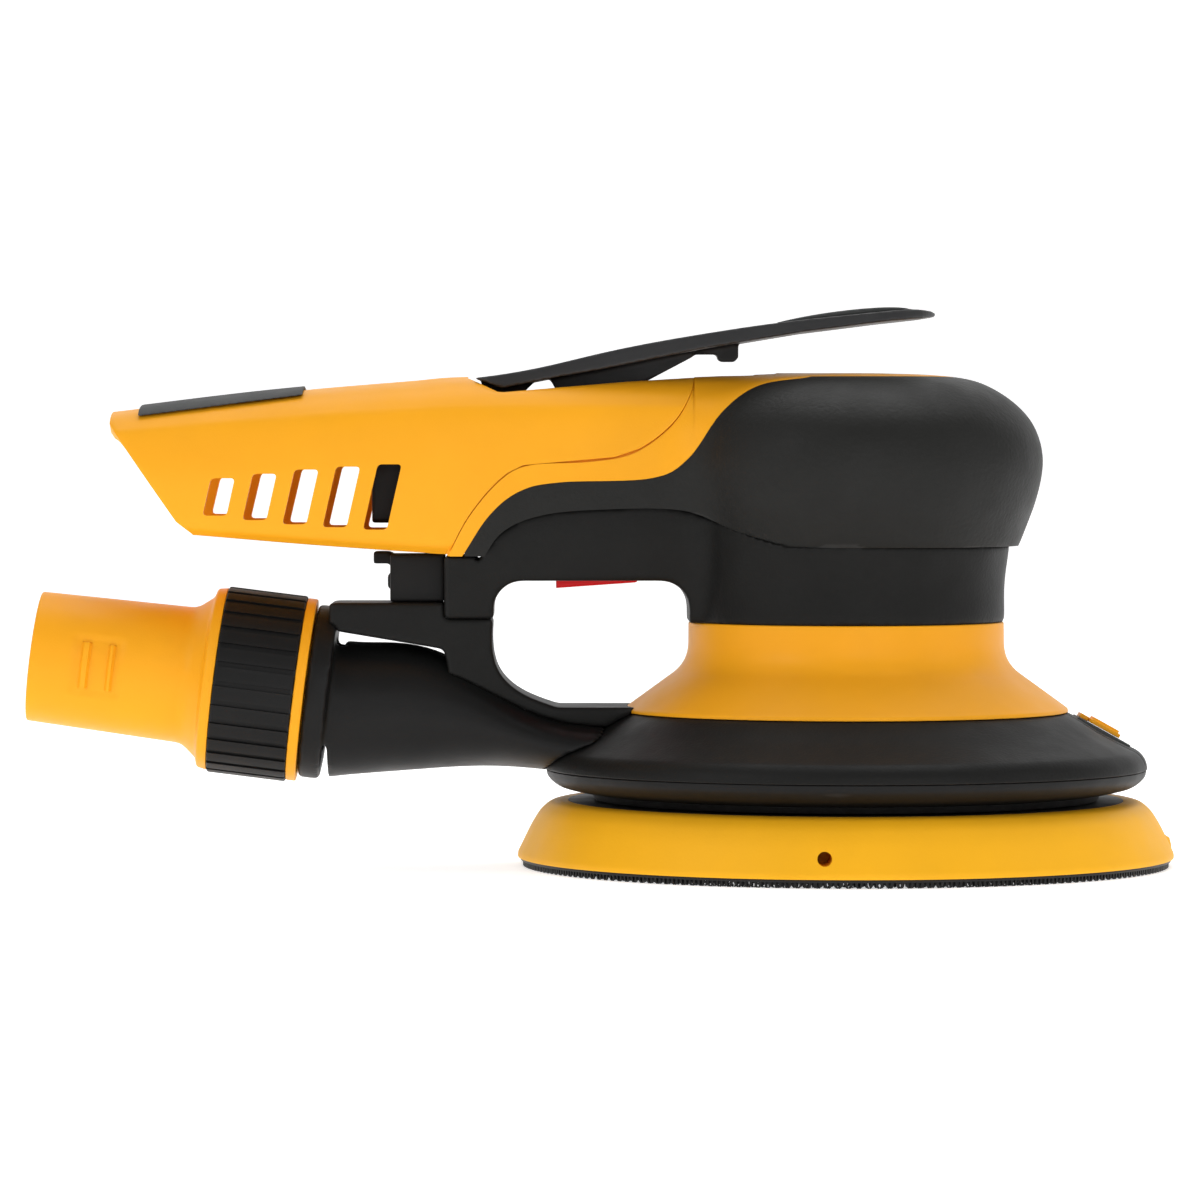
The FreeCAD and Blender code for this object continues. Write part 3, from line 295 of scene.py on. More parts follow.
# The lever's edges are painted much lighter than the rest of it: a painted highlight along its top edge.
lever_black = moulded("lever_black", (0.016, 0.016, 0.017), 0.46, 0.0005, 0.00004, wear_and_edge_highlight=0.16, specular=0.30)
inlay_grey = moulded("inlay_grey", (0.062, 0.065, 0.064), 0.55, 0.0007, 0.00005, wear_and_edge_highlight=0.05, specular=0.30)
pad_grey = moulded("tail_pad_grey", (0.048, 0.050, 0.050), 0.62, 0.0007, 0.00006, wear_and_edge_highlight=0.05, specular=0.30)
button_red = moulded("button_red", (0.80, 0.012, 0.016), 0.38, 0.0005, 0.00002, drift=0.05, specular=0.18)
hook_black = moulded("hook_nylon", (0.008, 0.008, 0.008), 0.42, 0.0003, 0.00002, specular=0.30)
steel = metal("turned_steel", (0.56, 0.56, 0.57), 0.32)
bright_steel = metal("ground_steel", (0.68, 0.68, 0.69), 0.22)
alloy = metal("cast_alloy", (0.70, 0.71, 0.72), 0.42, 400.0)
copper = metal("copper_wire", (0.70, 0.30, 0.14), 0.30, 1500.0)
brass = metal("brass_pins", (0.78, 0.60, 0.28), 0.28)
board_green = moulded("board_green", (0.02, 0.16, 0.06), 0.35, 0.0008, 0.00003)
print("finishes:", len(bpy.data.materials))

# %% [markdown]
# ## Turned pieces with soft corners
# Collar, shroud, pad and hose fittings are all round, so each is one outline turned about an axis.
# A moulding has no knife edges: the steel mould is cut with a round cutter, and so every corner of the
# outline carries its own small radius. We could bevel afterwards, but rounding the outline first
# gives clean rings of faces and lets a corner be as soft as the real one.

# %% Outlines
def soften(corners, steps=4):
    """Closed outline from (x, y, radius) corners, each rounded by its own radius."""
    outline = []
    for index, (x, y, radius) in enumerate(corners):
        here = np.array((x, y), float)
        before = np.array(corners[index - 1][:2]) - here
        after = np.array(corners[(index + 1) % len(corners)][:2]) - here
        reach = 0.48 * min(np.linalg.norm(before), np.linalg.norm(after))
        cut = min(radius, reach)
        start = here + before / np.linalg.norm(before) * cut
        end = here + after / np.linalg.norm(after) * cut
        for t in np.linspace(0, 1, steps + 1) if cut > 0 else (0.5,):
            outline.append((1 - t) ** 2 * start + 2 * t * (1 - t) * here + t * t * end)
    return np.array(outline)


def spread(outline, longest):
    """Extra points on long straight runs, so that a surface mark has something to bend."""
    points = []
    for here, after in zip(outline, np.roll(outline, -1, axis=0)):
        count = max(1, int(np.linalg.norm(after - here) / longest))
        points += [here + (after - here) * k / count for k in range(count)]
    return np.array(points)


ROUND = np.arange(0, 360, 1.5)      # the angles of an even turn, in degrees


def turn(outline, angles, dent=None):
    """Points and faces of a closed outline turned about Z; dent pushes the skin along its normal."""
    ahead = np.roll(outline, -1, axis=0) - np.roll(outline, 1, axis=0)
    ahead /= np.linalg.norm(ahead, axis=1)[:, None] + 1e-9
    signed = np.sum(outline[:, 0] * np.roll(outline[:, 1], -1) - np.roll(outline[:, 0], -1) * outline[:, 1])
    out = np.stack([ahead[:, 1], -ahead[:, 0]], 1) * np.sign(signed)
    angle = np.radians(angles)[None, :]
    radius = outline[:, :1] + 0 * angle
    height = outline[:, 1:] + 0 * angle
    if dent is not None:
        push = dent(np.degrees(angle) + 0 * radius, radius, height)
        radius, height = radius + out[:, :1] * push, height + out[:, 1:] * push
    points = np.stack([radius * np.cos(angle), radius * np.sin(angle), height], -1).reshape(-1, 3)
    rows, count = len(outline), len(angles)
    faces = [(i * count + j, i * count + (j + 1) % count, (i + 1) % rows * count + (j + 1) % count,
              (i + 1) % rows * count + j) for i in range(rows) for j in range(count)]
    return points, faces


# %% [markdown]
# ## From points to a piece
# Every mesh starts as millimetre points, because that is how such a tool is drawn. A new piece is welded and
# its faces are turned outward. When its shape is done, we settle it: the modifiers become real faces and the
# shading turns smooth except at true edges. Then it is attached to the body it rides on, and the CAD nodes
# that it stands in for are hidden.

# %% Pieces
def new_piece(name, points, faces, finish, matrix=None):
    """A mesh from millimetre points, welded, with its faces turned outward."""
    mesh = bpy.data.meshes.new(name)
    mesh.from_pydata((np.asarray(points) * MM).tolist(), [], faces)
    work = bmesh.new()
    work.from_mesh(mesh)
    bmesh.ops.remove_doubles(work, verts=work.verts, dist=0.000004)
    bmesh.ops.dissolve_degenerate(work, edges=work.edges, dist=0.000002)
    bmesh.ops.recalc_face_normals(work, faces=work.faces)
    work.to_mesh(mesh)
    work.free()
    mesh.materials.append(finish)
    piece = bpy.data.objects.new(name, mesh)
    bpy.context.collection.objects.link(piece)
    if matrix is not None:
        mesh.transform(matrix)
    return piece


def settle(piece, angle=38):
    """Turn the modifiers into real faces and shade smooth except at true edges."""
    graph = bpy.context.evaluated_depsgraph_get()
    mesh = bpy.data.meshes.new_from_object(piece.evaluated_get(graph))
    piece.modifiers.clear()
    piece.data = mesh
    mesh.polygons.foreach_set("use_smooth", [True] * len(mesh.polygons))
    mesh.set_sharp_from_angle(angle=math.radians(angle))


def finish_piece(piece, body, slot, *covers):
    """Settle a piece, attach it to its body and hide the CAD nodes that it covers; slot is not used."""
    settle(piece)
    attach(piece, body)
    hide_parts(*covers)
    print(piece.name, "faces:", len(piece.data.polygons))


# %% [markdown]
# ## Cutting tools
# Windows, dust holes and the latch recess are cut through finished skins. The tool for each is a prism: an
# outline drawn in one plane and pushed through the other direction, a little further than the wall on
# both sides, so that the Boolean never has to decide about two faces in the same place.

# %% Cutting tools
def carve(piece, tools):
    """Subtract the tools, then throw them away."""
    for tool in tools:
        cut = piece.modifiers.new("cut", "BOOLEAN")
        cut.operation = "DIFFERENCE"
        cut.solver = "EXACT"
        cut.object = tool
    settle(piece)
    for tool in tools:
        bpy.data.objects.remove(tool)


def prism(outline, low, high, plane="XZ"):
    """A straight-sided tool; the outline lies in the side plane or in plan."""
    count = len(outline)
    points = []
    for depth in (low, high):
        points += [(a, depth, b) if plane == "XZ" else (a, b, depth) for a, b in outline]
    faces = [tuple(range(count)), tuple(range(2 * count - 1, count - 1, -1))]
    faces += [(i, (i + 1) % count, count + (i + 1) % count, count + i) for i in range(count)]
    return new_piece("tool", points, faces, yellow)


def disc(x, y, radius, sides=40):
    """Outline of a round hole."""
    turnings = np.linspace(0, 2 * np.pi, sides, endpoint=False)
    return [(x + radius * math.cos(a), y + radius * math.sin(a)) for a in turnings]

# %% [markdown]
# ## Collar
# The yellow collar bolts the motor tube to the shroud. It flares like the foot of a vase, a hollow blend
# between tube and foot that carries the load without a sharp inside corner. One turned outline gives it.

# %% Collar
NECK = 36.0                # radius of the tube that the collar clamps
WALL = 3
low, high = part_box("collar")
foot = low[2] / MM
collar_top = high[2] / MM
collar_foot = high[0] / MM
collar = new_piece("collar_flare", *turn(soften([
    (collar_foot, foot, 0.3), (collar_foot - 0.1, foot + 0.8, 0.4), (NECK + 0.1, foot + 11.3, 7.0),
    (NECK, collar_top, 0.5), (NECK - WALL, collar_top, 0.4), (NECK - WALL, foot, 0.3)], 8), ROUND), yellow)
finish_piece(collar, "housing", "yellow_plastic", "collar")

# %% [markdown]
# ## Dust shroud
# The shroud catches what the pad throws out. A strip in front frames its latch, and the strip's edges show
# as two fine grooves. A dent function presses them into the turned skin, which keeps the mesh one clean
# grid. The latch sits in a recess that is cut afterwards.

# %% Dust shroud
low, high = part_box("dust_shroud")
edge = high[0] / MM
base = low[2] / MM
STRIP_EDGES = (11.6, 348.4)         # degrees, where the two edges of the strip lie
close_steps = [np.arange(10.6, 12.7, 0.15), np.arange(347.3, 349.4, 0.15)]
fine = sorted(set(np.round(np.concatenate([ROUND, *close_steps]), 2)))


def strip_grooves(angle, radius, height):
    """Two fine grooves down the slope, one at each edge of the strip."""
    away = np.minimum(*(np.abs(angle - spot) for spot in STRIP_EDGES))
    return np.where((away < 0.32) & (height > base + 1.2) & (radius > collar_foot - 1), -0.35, 0.0)


SKIN_EDGE = 68.7           # the radius at which the slope's profile was drawn
skin = [(50.0, 35.8), (53.4, 33.9), (58.0, 31.0), (62.6, 28.6), (66.7, 26.7), (67.9, 25.4), (68.5, 24.1)]
outer = [(r + edge - SKIN_EDGE, z - 0.3, 2.0) for r, z in skin] + [(edge, base, 0.3)]
inner = [(edge - 2.8, base, 0.3), (edge - 3.4, 23.6, 1.0), (60.5, 26.4, 2.0), (56.5, 28.6, 2.0), (52.0, 31.4, 2.0),
         (48.6, 32.7, 2.0), (30.0, 32.7, 0.3), (30.0, 35.4, 0.3)]
shroud = new_piece("shroud_skin", *turn(spread(soften(outer + inner), 1.5), fine, strip_grooves), black)
SLOPE = math.radians(29.1)
along = np.array((math.cos(SLOPE), -math.sin(SLOPE)))
upward = np.array((math.sin(SLOPE), math.cos(SLOPE)))
latch_middle = np.array((58.0 + edge - SKIN_EDGE, 31.05))
recess = [latch_middle + along * a + upward * b for a, b in ((-6.4, -0.9), (7.6, -0.9), (7.6, 2.0), (-6.4, 2.0))]
recess_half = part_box("latch_plate")[1][1] / MM + 0.2
carve(shroud, [prism(recess, -recess_half, recess_half)])
finish_piece(shroud, "housing", "black_plastic", "dust_shroud")

# %% [markdown]
# ## Shroud rim and pad brake
# The rim is a softer ring under the shroud's edge with a full, rounded belly. The thin seal under it rubs
# on the pad's back and stops the pad from spinning up when the tool is lifted.

# %% Rim
low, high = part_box("shroud_rim")
rim_low, rim_high, rim_edge = low[2] / MM, high[2] / MM, high[0] / MM
rim = new_piece("rim_ring", *turn(soften([
    (rim_edge, rim_high - 0.1, 0.3), (rim_edge - 0.3, 20.7, 1.5), (rim_edge - 1.6, 19.3, 1.5), (65.3, 18.3, 2.5),
    (62.2, 17.5, 2.0), (58.0, rim_low, 0.4), (53.0, rim_low, 0.4), (53.0, rim_low + 2.2, 0.4),
    (62.0, 20.5, 1.0), (64.4, rim_high - 0.1, 0.3)], 6), ROUND), rim_black)
finish_piece(rim, "housing", "black_rubber", "shroud_rim")

# %% [markdown]
# ## Sanding pad
# The pad is cast urethane foam: a thin lip over the hook layer, a cone and a soft shoulder that carries the
# plate. Two rings of dust holes go through it and a hole in the side lets dust from the edge in.
# A small nub on the lip marks where the disc is lined up. The pad's centre is off the motor's by the orbit.

# %% Pad body
low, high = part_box("pad_foam")
pad_edge = (high[0] - low[0]) / 2 / MM
orbit = (high[1] + low[1]) / 2 / MM
hook_top = low[2] / MM
pad_top = high[2] / MM
to_pad = Matrix.Translation((0, orbit * MM, 0))


def nub(angle, radius, height):
    """A small swelling of the lip at angle 0, never past the pad's own edge."""
    near = np.clip(1.6 - np.minimum(angle, 360 - angle), 0, 1) * np.clip((6.8 - height) * 2, 0, 1)
    push = 0.8 * near * np.clip((height - hook_top - 0.6) * 3, 0, 1) * (radius > 60)
    return np.minimum(push, np.maximum(0, pad_edge - 0.3 - radius))


WELL = 15.0                # radius of the well for the pad's screw
foam_outline = soften([
    (pad_edge, hook_top, 0.25), (pad_edge, hook_top + 1, 0.6), (pad_edge - 3.3, 9.8, 3.0),
    (pad_edge - 5.3, pad_top - 2.1, 1.5), (pad_edge - 7.4, pad_top - 0.4, 1.5), (pad_edge - 9.2, pad_top, 0.8),
    (pad_edge - 11.6, pad_top, 0.3), (pad_edge - 11.6, pad_top - 4, 0.2), (WELL, pad_top - 4, 0.2),
    (WELL, hook_top, 0.3)], 6)
pad_angles = sorted(set(np.round(np.concatenate([ROUND, np.arange(0, 2.2, 0.2), np.arange(358, 360, 0.2)]), 2)))
foam = new_piece("pad_foam_body", *turn(spread(foam_outline, 1.2), pad_angles, nub), foam_yellow)
HOLE_RINGS = ((34.0, 5.0), (55.0, 3.2))       # radius of each ring and of its eight holes
holes = [(ring * math.cos(math.pi * k / 4), ring * math.sin(math.pi * k / 4), hole)
         for ring, hole in HOLE_RINGS for k in range(8)]


def dust_tools(low, high):
    """One upright prism for each dust hole."""
    return [prism(disc(x, y, hole), low, high, "XY") for x, y, hole in holes]


side_hole = prism(disc(-8.2, hook_top + 4.4, 1.6, 24), -90, -61)
carve(foam, dust_tools(-2, 20) + [side_hole])
foam.data.transform(to_pad)
finish_piece(foam, "pad", "yellow_foam", "pad_foam")

# %% [markdown]
# ## Weave of the hook facing
# The black layer under the pad is a woven tape whose loops were cut open into hooks. First comes the weave
# that the hooks stand in, a thin ring with the same dust holes as the pad, so the dust can pass.

# %% Hook weave
low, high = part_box("hook_facing")
weave_edge = (high[0] - low[0]) / 2 / MM
WEAVE_LOW = 1.35           # the hooks fill the rest, down to the floor
weave = new_piece("hook_weave", *turn(soften([
    (weave_edge, WEAVE_LOW, 0.15), (weave_edge, hook_top, 0.1), (WELL - 2, hook_top, 0.1),
    (WELL - 2, WEAVE_LOW, 0.1)], 2), ROUND), hook_black)
carve(weave, dust_tools(-1, 4))

# %% [markdown]
# ## One hook
# A hook is a stiff little J that grips the felt back of a sanding disc. Ours is a square rod along five
# points, thinner towards the tip and leaning back where it bends. Twenty points are enough, because each
# hook is smaller than a millimetre and only their number and their outline ever show.

# %% One hook
path = np.array(((0, 1.5), (0.02, 0.85), (0.16, 0.36), (0.46, 0.10), (0.74, 0.26)))
thick = np.array((0.24, 0.22, 0.20, 0.18, 0.12))
template = np.array([(x + a * t, b * t, z + 0.35 * a * t * (k > 1)) for k, ((x, z), t) in enumerate(zip(path, thick))
                     for a, b in ((-1, -1), (1, -1), (1, 1), (-1, 1))])
template_faces = [(4 * k + j, 4 * k + (j + 1) % 4, 4 * k + 4 + (j + 1) % 4, 4 * k + 4 + j)
                  for k in range(4) for j in range(4)] + [(3, 2, 1, 0), (16, 17, 18, 19)]
print("faces in one hook:", len(template_faces))

# %% [markdown]
# ## Where the hooks stand
# Inside, the hooks stand on a loose triangular grid. At the rim they crowd into two full rings, because the
# cut edge of real tape shows a dense row of them, and that row is what makes the pad's edge look like hook
# tape. A seeded generator moves each one a little, so the result is the same on every run.

# %% Hook places
random = np.random.default_rng(7)
PITCH = 1.75
ROW = 0.866                # the height of a triangle with sides of 1
spots = [(PITCH * (i + 0.5 * (j % 2)), PITCH * ROW * j) for i in range(-48, 49) for j in range(-50, 51)]
spots = [(x + dx, y + dy) for (x, y), (dx, dy) in zip(spots, random.uniform(-0.2, 0.2, (len(spots), 2)))
         if WELL - 1 < math.hypot(x, y) < weave_edge - 2.2]
for inward, count in ((0.75, 420), (1.5, 400)):
    ring_radius = weave_edge - inward
    spots += [(ring_radius * math.cos(a), ring_radius * math.sin(a)) for a in np.linspace(0, 2 * np.pi, count)[:-1]]
HOLE_CLEAR = 0.9           # a hook keeps this far from a dust hole
spots = [s for s in spots if all(math.hypot(s[0] - x, s[1] - y) > hole + HOLE_CLEAR for x, y, hole in holes)]
print("hooks:", len(spots))

# %% [markdown]
# ## The field of hooks
# All hooks become one mesh, since thousands of objects would be slow. Each gets its own turn. In the rings
# at the rim they lie along the edge, left and right by turns, so none of them sticks out past the pad.

# %% Hook field
points, faces = [], []
for index, (x, y) in enumerate(spots):
    swing = random.uniform(0, 2 * np.pi)
    if math.hypot(x, y) > weave_edge - 1.8:
        swing = math.atan2(y, x) + math.pi / 2 * (1 if index % 2 else -1)
    cos, sin = math.cos(swing), math.sin(swing)
    points.append(np.stack([x + template[:, 0] * cos - template[:, 1] * sin,
                            y + template[:, 0] * sin + template[:, 1] * cos, template[:, 2]], 1))
    faces += [tuple(20 * index + v for v in face) for face in template_faces]
hooks = bpy.data.meshes.new("hooks")
hooks.from_pydata((np.concatenate(points) * MM).tolist(), [], faces)
hooks.materials.append(hook_black)
hook_field = bpy.data.objects.new("hook_field", hooks)
bpy.context.collection.objects.link(hook_field)
for piece in (weave, hook_field):
    piece.data.transform(to_pad)
finish_piece(weave, "pad", "hook_fabric", "hook_facing")
finish_piece(hook_field, "pad", "hook_fabric", "hook_facing")

# %% [markdown]
# ## Hose adapter
# The yellow adapter turns in the end of the duct, with a seal in the small groove of its sleeve. Two short
# ribs on the tapered spigot key the hose. It is round about the tilted axis of the duct, so we turn it
# upright first and then lay it down with one matrix.

# %% Hose adapter
swivel = next(joint for joint in frame["joints"] if joint["name"] == "hose_swivel")
axis = Vector(swivel["axis"]).normalized()
to_duct = Matrix.Translation(Vector(swivel["pos_m"])) @ axis.to_track_quat("Z", "Y").to_matrix().to_4x4()
RING_LOW, RING_HIGH, END = 2.6, 20.8, 62.9    # heights of the ribbed ring and of the spigot's end
BORE, SLEEVE, GROOVE, HUB_RADIUS, FLANGE = 12.8, 14.6, 13.7, 17.6, 20.9
outward = to_duct.inverted().to_3x3() @ Vector((0, -1, 0))
near_side = math.degrees(math.atan2(outward.y, outward.x)) % 360


def key_ribs(angle, radius, height):
    """Two short ribs standing in a shallow dimple, on the side that faces out."""
    around = (angle - near_side + 180) % 360 - 180
    across = np.radians(around) * radius
    outside = (radius > 14.2) & (height > RING_HIGH + 8)
    dimple = np.clip((7.5 - np.abs(across)) / 1.5, 0, 1) * np.clip((6.2 - np.abs(height - 47.5)) / 1.5, 0, 1)
    rib = (np.abs(across) < 5.5) & ((np.abs(height - 44.5) < 0.8) | (np.abs(height - 50.5) < 0.8))
    return outside * np.where(rib, 0.6, -0.4 * dimple)


adapter_outline = soften([
    (BORE, -4.0, 0.3), (SLEEVE, -4.0, 0.2), (SLEEVE, -2.8, 0.1), (GROOVE, -2.8, 0.1), (GROOVE, -1.4, 0.1),
    (SLEEVE, -1.4, 0.1), (SLEEVE, 0.3, 0.1), (FLANGE, 0.3, 0.4), (FLANGE, RING_LOW, 0.3),
    (HUB_RADIUS, RING_LOW, 0.1), (HUB_RADIUS, RING_HIGH, 0.1), (FLANGE, RING_HIGH, 0.3),
    (20.5, RING_HIGH + 2.3, 0.5), (18.5, RING_HIGH + 2.9, 0.6), (15.6, RING_HIGH + 6.5, 1.5), (14.8, END, 0.5),
    (BORE, END, 0.4)], 3)
adapter = new_piece("hose_spigot", *turn(spread(adapter_outline, 0.55), ROUND, key_ribs), yellow, to_duct)
finish_piece(adapter, "swivel", "yellow_plastic", "hose_adapter")

# %% [markdown]
# ## Ribbed ring
# A rubber ring sits between the two flanges so that a dusty hand can turn the hose. It has thirty ribs. A
# groove needs points where it starts, not halfway, so the angles of the turn bunch up at each groove's walls.

# %% Ribbed ring
def grip_grooves(angle, radius, height):
    """A groove in the outside every 12 degrees."""
    away = np.abs((angle + 6) % 12 - 6)
    return np.where((away < 1.7) & (radius > 21), -0.45, 0.0)


one_rib = np.array((-4, -2, -1.72, -1.68, 0, 1.68, 1.72, 2, 4, 6))
ring_angles = np.concatenate([12 * k + one_rib for k in range(30)]) % 360
ring = new_piece("swivel_grip", *turn(soften([
    (21.3, RING_LOW + 0.1, 0.5), (21.3, RING_HIGH - 0.1, 0.5), (17.65, RING_HIGH - 0.1, 0.2),
    (17.65, RING_LOW + 0.1, 0.2)]), sorted(ring_angles), grip_grooves), rim_black, to_duct)
finish_piece(ring, "swivel", "black_rubber", "grip_ring")

# %% [markdown]
# ## The skin of the upper body
# Head and grip are one flowing surface: a round nose over the motor that narrows into a straight bar.
# Two mouldings share it, a yellow shell and a soft black overmould, and they meet along curves. We draw
# those curves once, seen from the side, and a table of levels that says how wide the surface is at each
# height. A smooth curve through a few chosen points is easier to adjust than a hundred points are.

# %% Curves of the body
def through(points, share=14):
    """A smooth curve through points, as a dense polyline."""
    p = np.array(points, float)
    p = np.vstack([2 * p[0] - p[1], p, 2 * p[-1] - p[-2]])
    out = []
    for a, b, c, d in zip(p, p[1:], p[2:], p[3:]):
        for t in np.linspace(0, 1, share, endpoint=False):
            out.append(0.5 * (2 * b + (c - a) * t + (2 * a - 5 * b + 4 * c - d) * t * t
                              + (3 * b - a - 3 * c + d) * t ** 3))
    return np.array(out + [p[-2]])


S_SEAM = through(((-90.9, 70.6), (-85.8, 80.1), (-78.8, 88.3), (-72.2, 91.7), (-58.6, 92.5), (-48.8, 94.4),
                  (-40.4, 100.4), (-35.9, 107.6), (-34.5, 114.0)))
COLOUR_LINE = through(((-87.6, 70.6), (-81.3, 80.1), (-74.4, 85.6), (-65.3, 87.6), (-45.0, 88.5), (-36.7, 92.9),
                       (-29.1, 103.4), (-20.8, 109.4), (-9.4, 111.3)))
STEP_LINE = through(((-84.6, 67.0), (-79.0, 76.2), (-69.9, 80.5), (-56.2, 81.9), (-37.9, 81.7), (-26.1, 77.2),
                     (-14.1, 73.5)))
LEVELS = through(((71.0, 36.2, 18.8), (73.8, 37.6, 19.5), (78.6, 39.5, 20.5), (83.3, 41.2, 21.2),
                  (88.7, 42.5, 21.6), (93.4, 42.8, 21.6), (98.1, 41.8, 21.0), (102.4, 39.5, 19.8),
                  (106.4, 35.4, 17.3), (109.6, 30.1, 13.2), (111.2, 25.0, 9.0), (112.0, 18.0, 4.6),
                  (112.35, 9.0, 1.8), (112.5, 0.02, 0.01)), 40)
print("levels of the skin:", len(LEVELS))

# %% [markdown]
# ## One level and one column
# Each level is a circle, a hollow blend and a straight side. A column joins the same share of every level
# from bottom to top. Round the nose we share out the length of the curve, and behind the split every
# column stays at its own distance along the bar, so that the columns there are truly upright.

# %% Levels and columns
HUB, BLEND, BAR_END, SPLIT = 2.0, 18.0, -93.0, -31.5


def half_outline(radius, half):
    """One level of the skin from the nose back to the split: round nose, hollow blend, straight side."""
    reach = math.sqrt((radius + BLEND) ** 2 - (half + BLEND) ** 2)
    turn_end = math.atan2(half + BLEND, -reach)
    nose = [(HUB + radius * math.cos(a), radius * math.sin(a)) for a in np.linspace(0, turn_end, 90)]
    hollow = [(HUB - reach + BLEND * math.cos(a), half + BLEND + BLEND * math.sin(a))
              for a in np.linspace(turn_end + math.pi, 1.5 * math.pi, 40)[1:]]
    points = np.array(nose + hollow + [(BAR_END, half)])
    side = np.interp(SPLIT, points[::-1, 0], points[::-1, 1])
    front = np.vstack([points[points[:, 0] > SPLIT], (SPLIT, side)])
    length = np.concatenate([[0], np.cumsum(np.linalg.norm(np.diff(front, axis=0), axis=1))])
    return points, front, length / length[-1]


OUTLINES = [half_outline(radius, half) for height, radius, half in LEVELS]


def skin_column(u):
    """Points up the skin at one place u round it: 0 is the nose, 1 and -1 the rear of the two sides."""
    column = []
    for (points, front, share), (height, radius, half) in zip(OUTLINES, LEVELS):
        if abs(u) < 0.5:
            x = np.interp(abs(u) * 2, share, front[:, 0])
            y = np.interp(abs(u) * 2, share, front[:, 1])
        else:
            x = SPLIT + (BAR_END - SPLIT) * (abs(u) - 0.5) * 2
            y = np.interp(x, points[::-1, 0], points[::-1, 1])
        column.append((x, y * (1 if u > 0 else -1), height))
    return np.array(column)


# %% [markdown]
# ## Sheets with clean edges
# To get crisp edges where two mouldings meet, we don't cut a finished mesh. For each column of the skin we
# find where it enters and leaves the moulding's zone, and put our rows of points between those two places
# only. The moulding's edge is then a row of the mesh itself. Solidify gives the sheet its wall, and a small
# bevel rounds what would be a knife edge.

# %% Sheets
def line_height(curve, x, before, after):
    """Height of a side-view curve above each x, with set values before its start and after its end."""
    return np.interp(x, curve[:, 0], curve[:, 1], left=before, right=after)


def fitted(column, inside, rows, last_run=False):
    """The stretch of a column where inside is positive, as evenly spread rows; None if there is none."""
    value = inside(*column.T)
    hits = np.nonzero(value > 0)[0]
    if last_run and len(hits):
        hits = hits[np.nonzero(np.diff(np.concatenate([[-9], hits])) > 1)[0][-1]:]
    if len(hits) < 2:
        return None
    first, last = float(hits[0]), float(hits[-1])
    if hits[0] > 0:
        first -= value[hits[0]] / (value[hits[0]] - value[hits[0] - 1])
    if hits[-1] < len(column) - 1:
        last += value[hits[-1]] / (value[hits[-1]] - value[hits[-1] + 1])
    want = np.linspace(first, last, rows)
    spots = np.arange(len(column))
    return np.stack([np.interp(want, spots, column[:, k]) for k in range(3)], 1)


def sheet_faces(columns, rows, closed=False):
    """Quads between neighbouring columns; closed also joins the last to the first."""
    ends = columns if closed else columns - 1
    return [(i * rows + j, (i + 1) % columns * rows + j, (i + 1) % columns * rows + j + 1, i * rows + j + 1)
            for i in range(ends) for j in range(rows - 1)]


def thicken(piece, wall, bevel, outward):
    """Give the skin its wall, inward, and round the edges of the moulding."""
    mesh = piece.data
    probe = max(mesh.polygons, key=lambda face: face.center.dot(outward))
    if probe.normal.dot(outward) < 0:
        mesh.flip_normals()
    solid = piece.modifiers.new("wall", "SOLIDIFY")
    solid.thickness = wall * MM
    solid.offset = -1
    solid.use_even_offset = False
    edge = piece.modifiers.new("edges", "BEVEL")
    edge.width = bevel * MM
    edge.segments = 2
    edge.limit_method = "ANGLE"
    edge.angle_limit = math.radians(50)
    settle(piece)

# %% [markdown]
# ## Zones of the mouldings
# A zone is a function that is positive inside a moulding and negative outside it. Where two rules hold at
# once, such as above the colour line and below the seam, the smaller of their values serves both.

# %% Zones
SEAM_GAP = 0.2
tray_low, tray_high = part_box("lever_tray")
SLOT_REAR, SLOT_FRONT, SLOT_HALF = tray_low[0] / MM, tray_high[0] / MM, tray_high[1] / MM


def yellow_zone(x, y, z):
    """Above the colour line, below the seam, and clear of the slot for the lever's channel."""
    bottom = np.maximum(line_height(COLOUR_LINE, x, 70.2, 111.5), 70.2)
    seam = line_height(S_SEAM, x, 0.0, 200.0)
    slot = np.where((x > SLOT_REAR) & (x < SLOT_FRONT), np.abs(y) - SLOT_HALF, 50.0)
    return np.minimum(np.minimum(z - bottom - SEAM_GAP * 0.5, seam - z - SEAM_GAP), slot)


def rubber_area(x, y, z):
    """Above the step that stands proud of the lower housing, below the colour line."""
    bottom = np.maximum(line_height(STEP_LINE, x, 71.0, 73.5), 71.0) - np.where(x < -82.5, 1.0, 0.35)
    top = line_height(COLOUR_LINE, x, 0.0, 111.5)
    return np.minimum(z - bottom, top - z)


def seam_backing(x, y, z):
    """A narrow band behind the seam, the tongue that the rear cover slips over."""
    seam = line_height(S_SEAM, x, 0.0, 0.0)
    return np.minimum(2.2 - np.abs(z - seam), 108.5 - z)

# %% [markdown]
# ## Yellow shell and black overmould
# The overmould is a second shot of soft rubber over the shell, so it ends in a lip: it stands proud of the
# lower housing by its own thickness and meets the yellow flush. The small gap between the mouldings is
# real too; parts that are moulded apart never close without a line of shadow.

# %% Upper shells
steps_round = np.concatenate([np.linspace(0, 0.5, 76), np.linspace(0.5, 1, 111)[1:]])
sides_round = np.concatenate([-steps_round[::-1], steps_round[1:]])


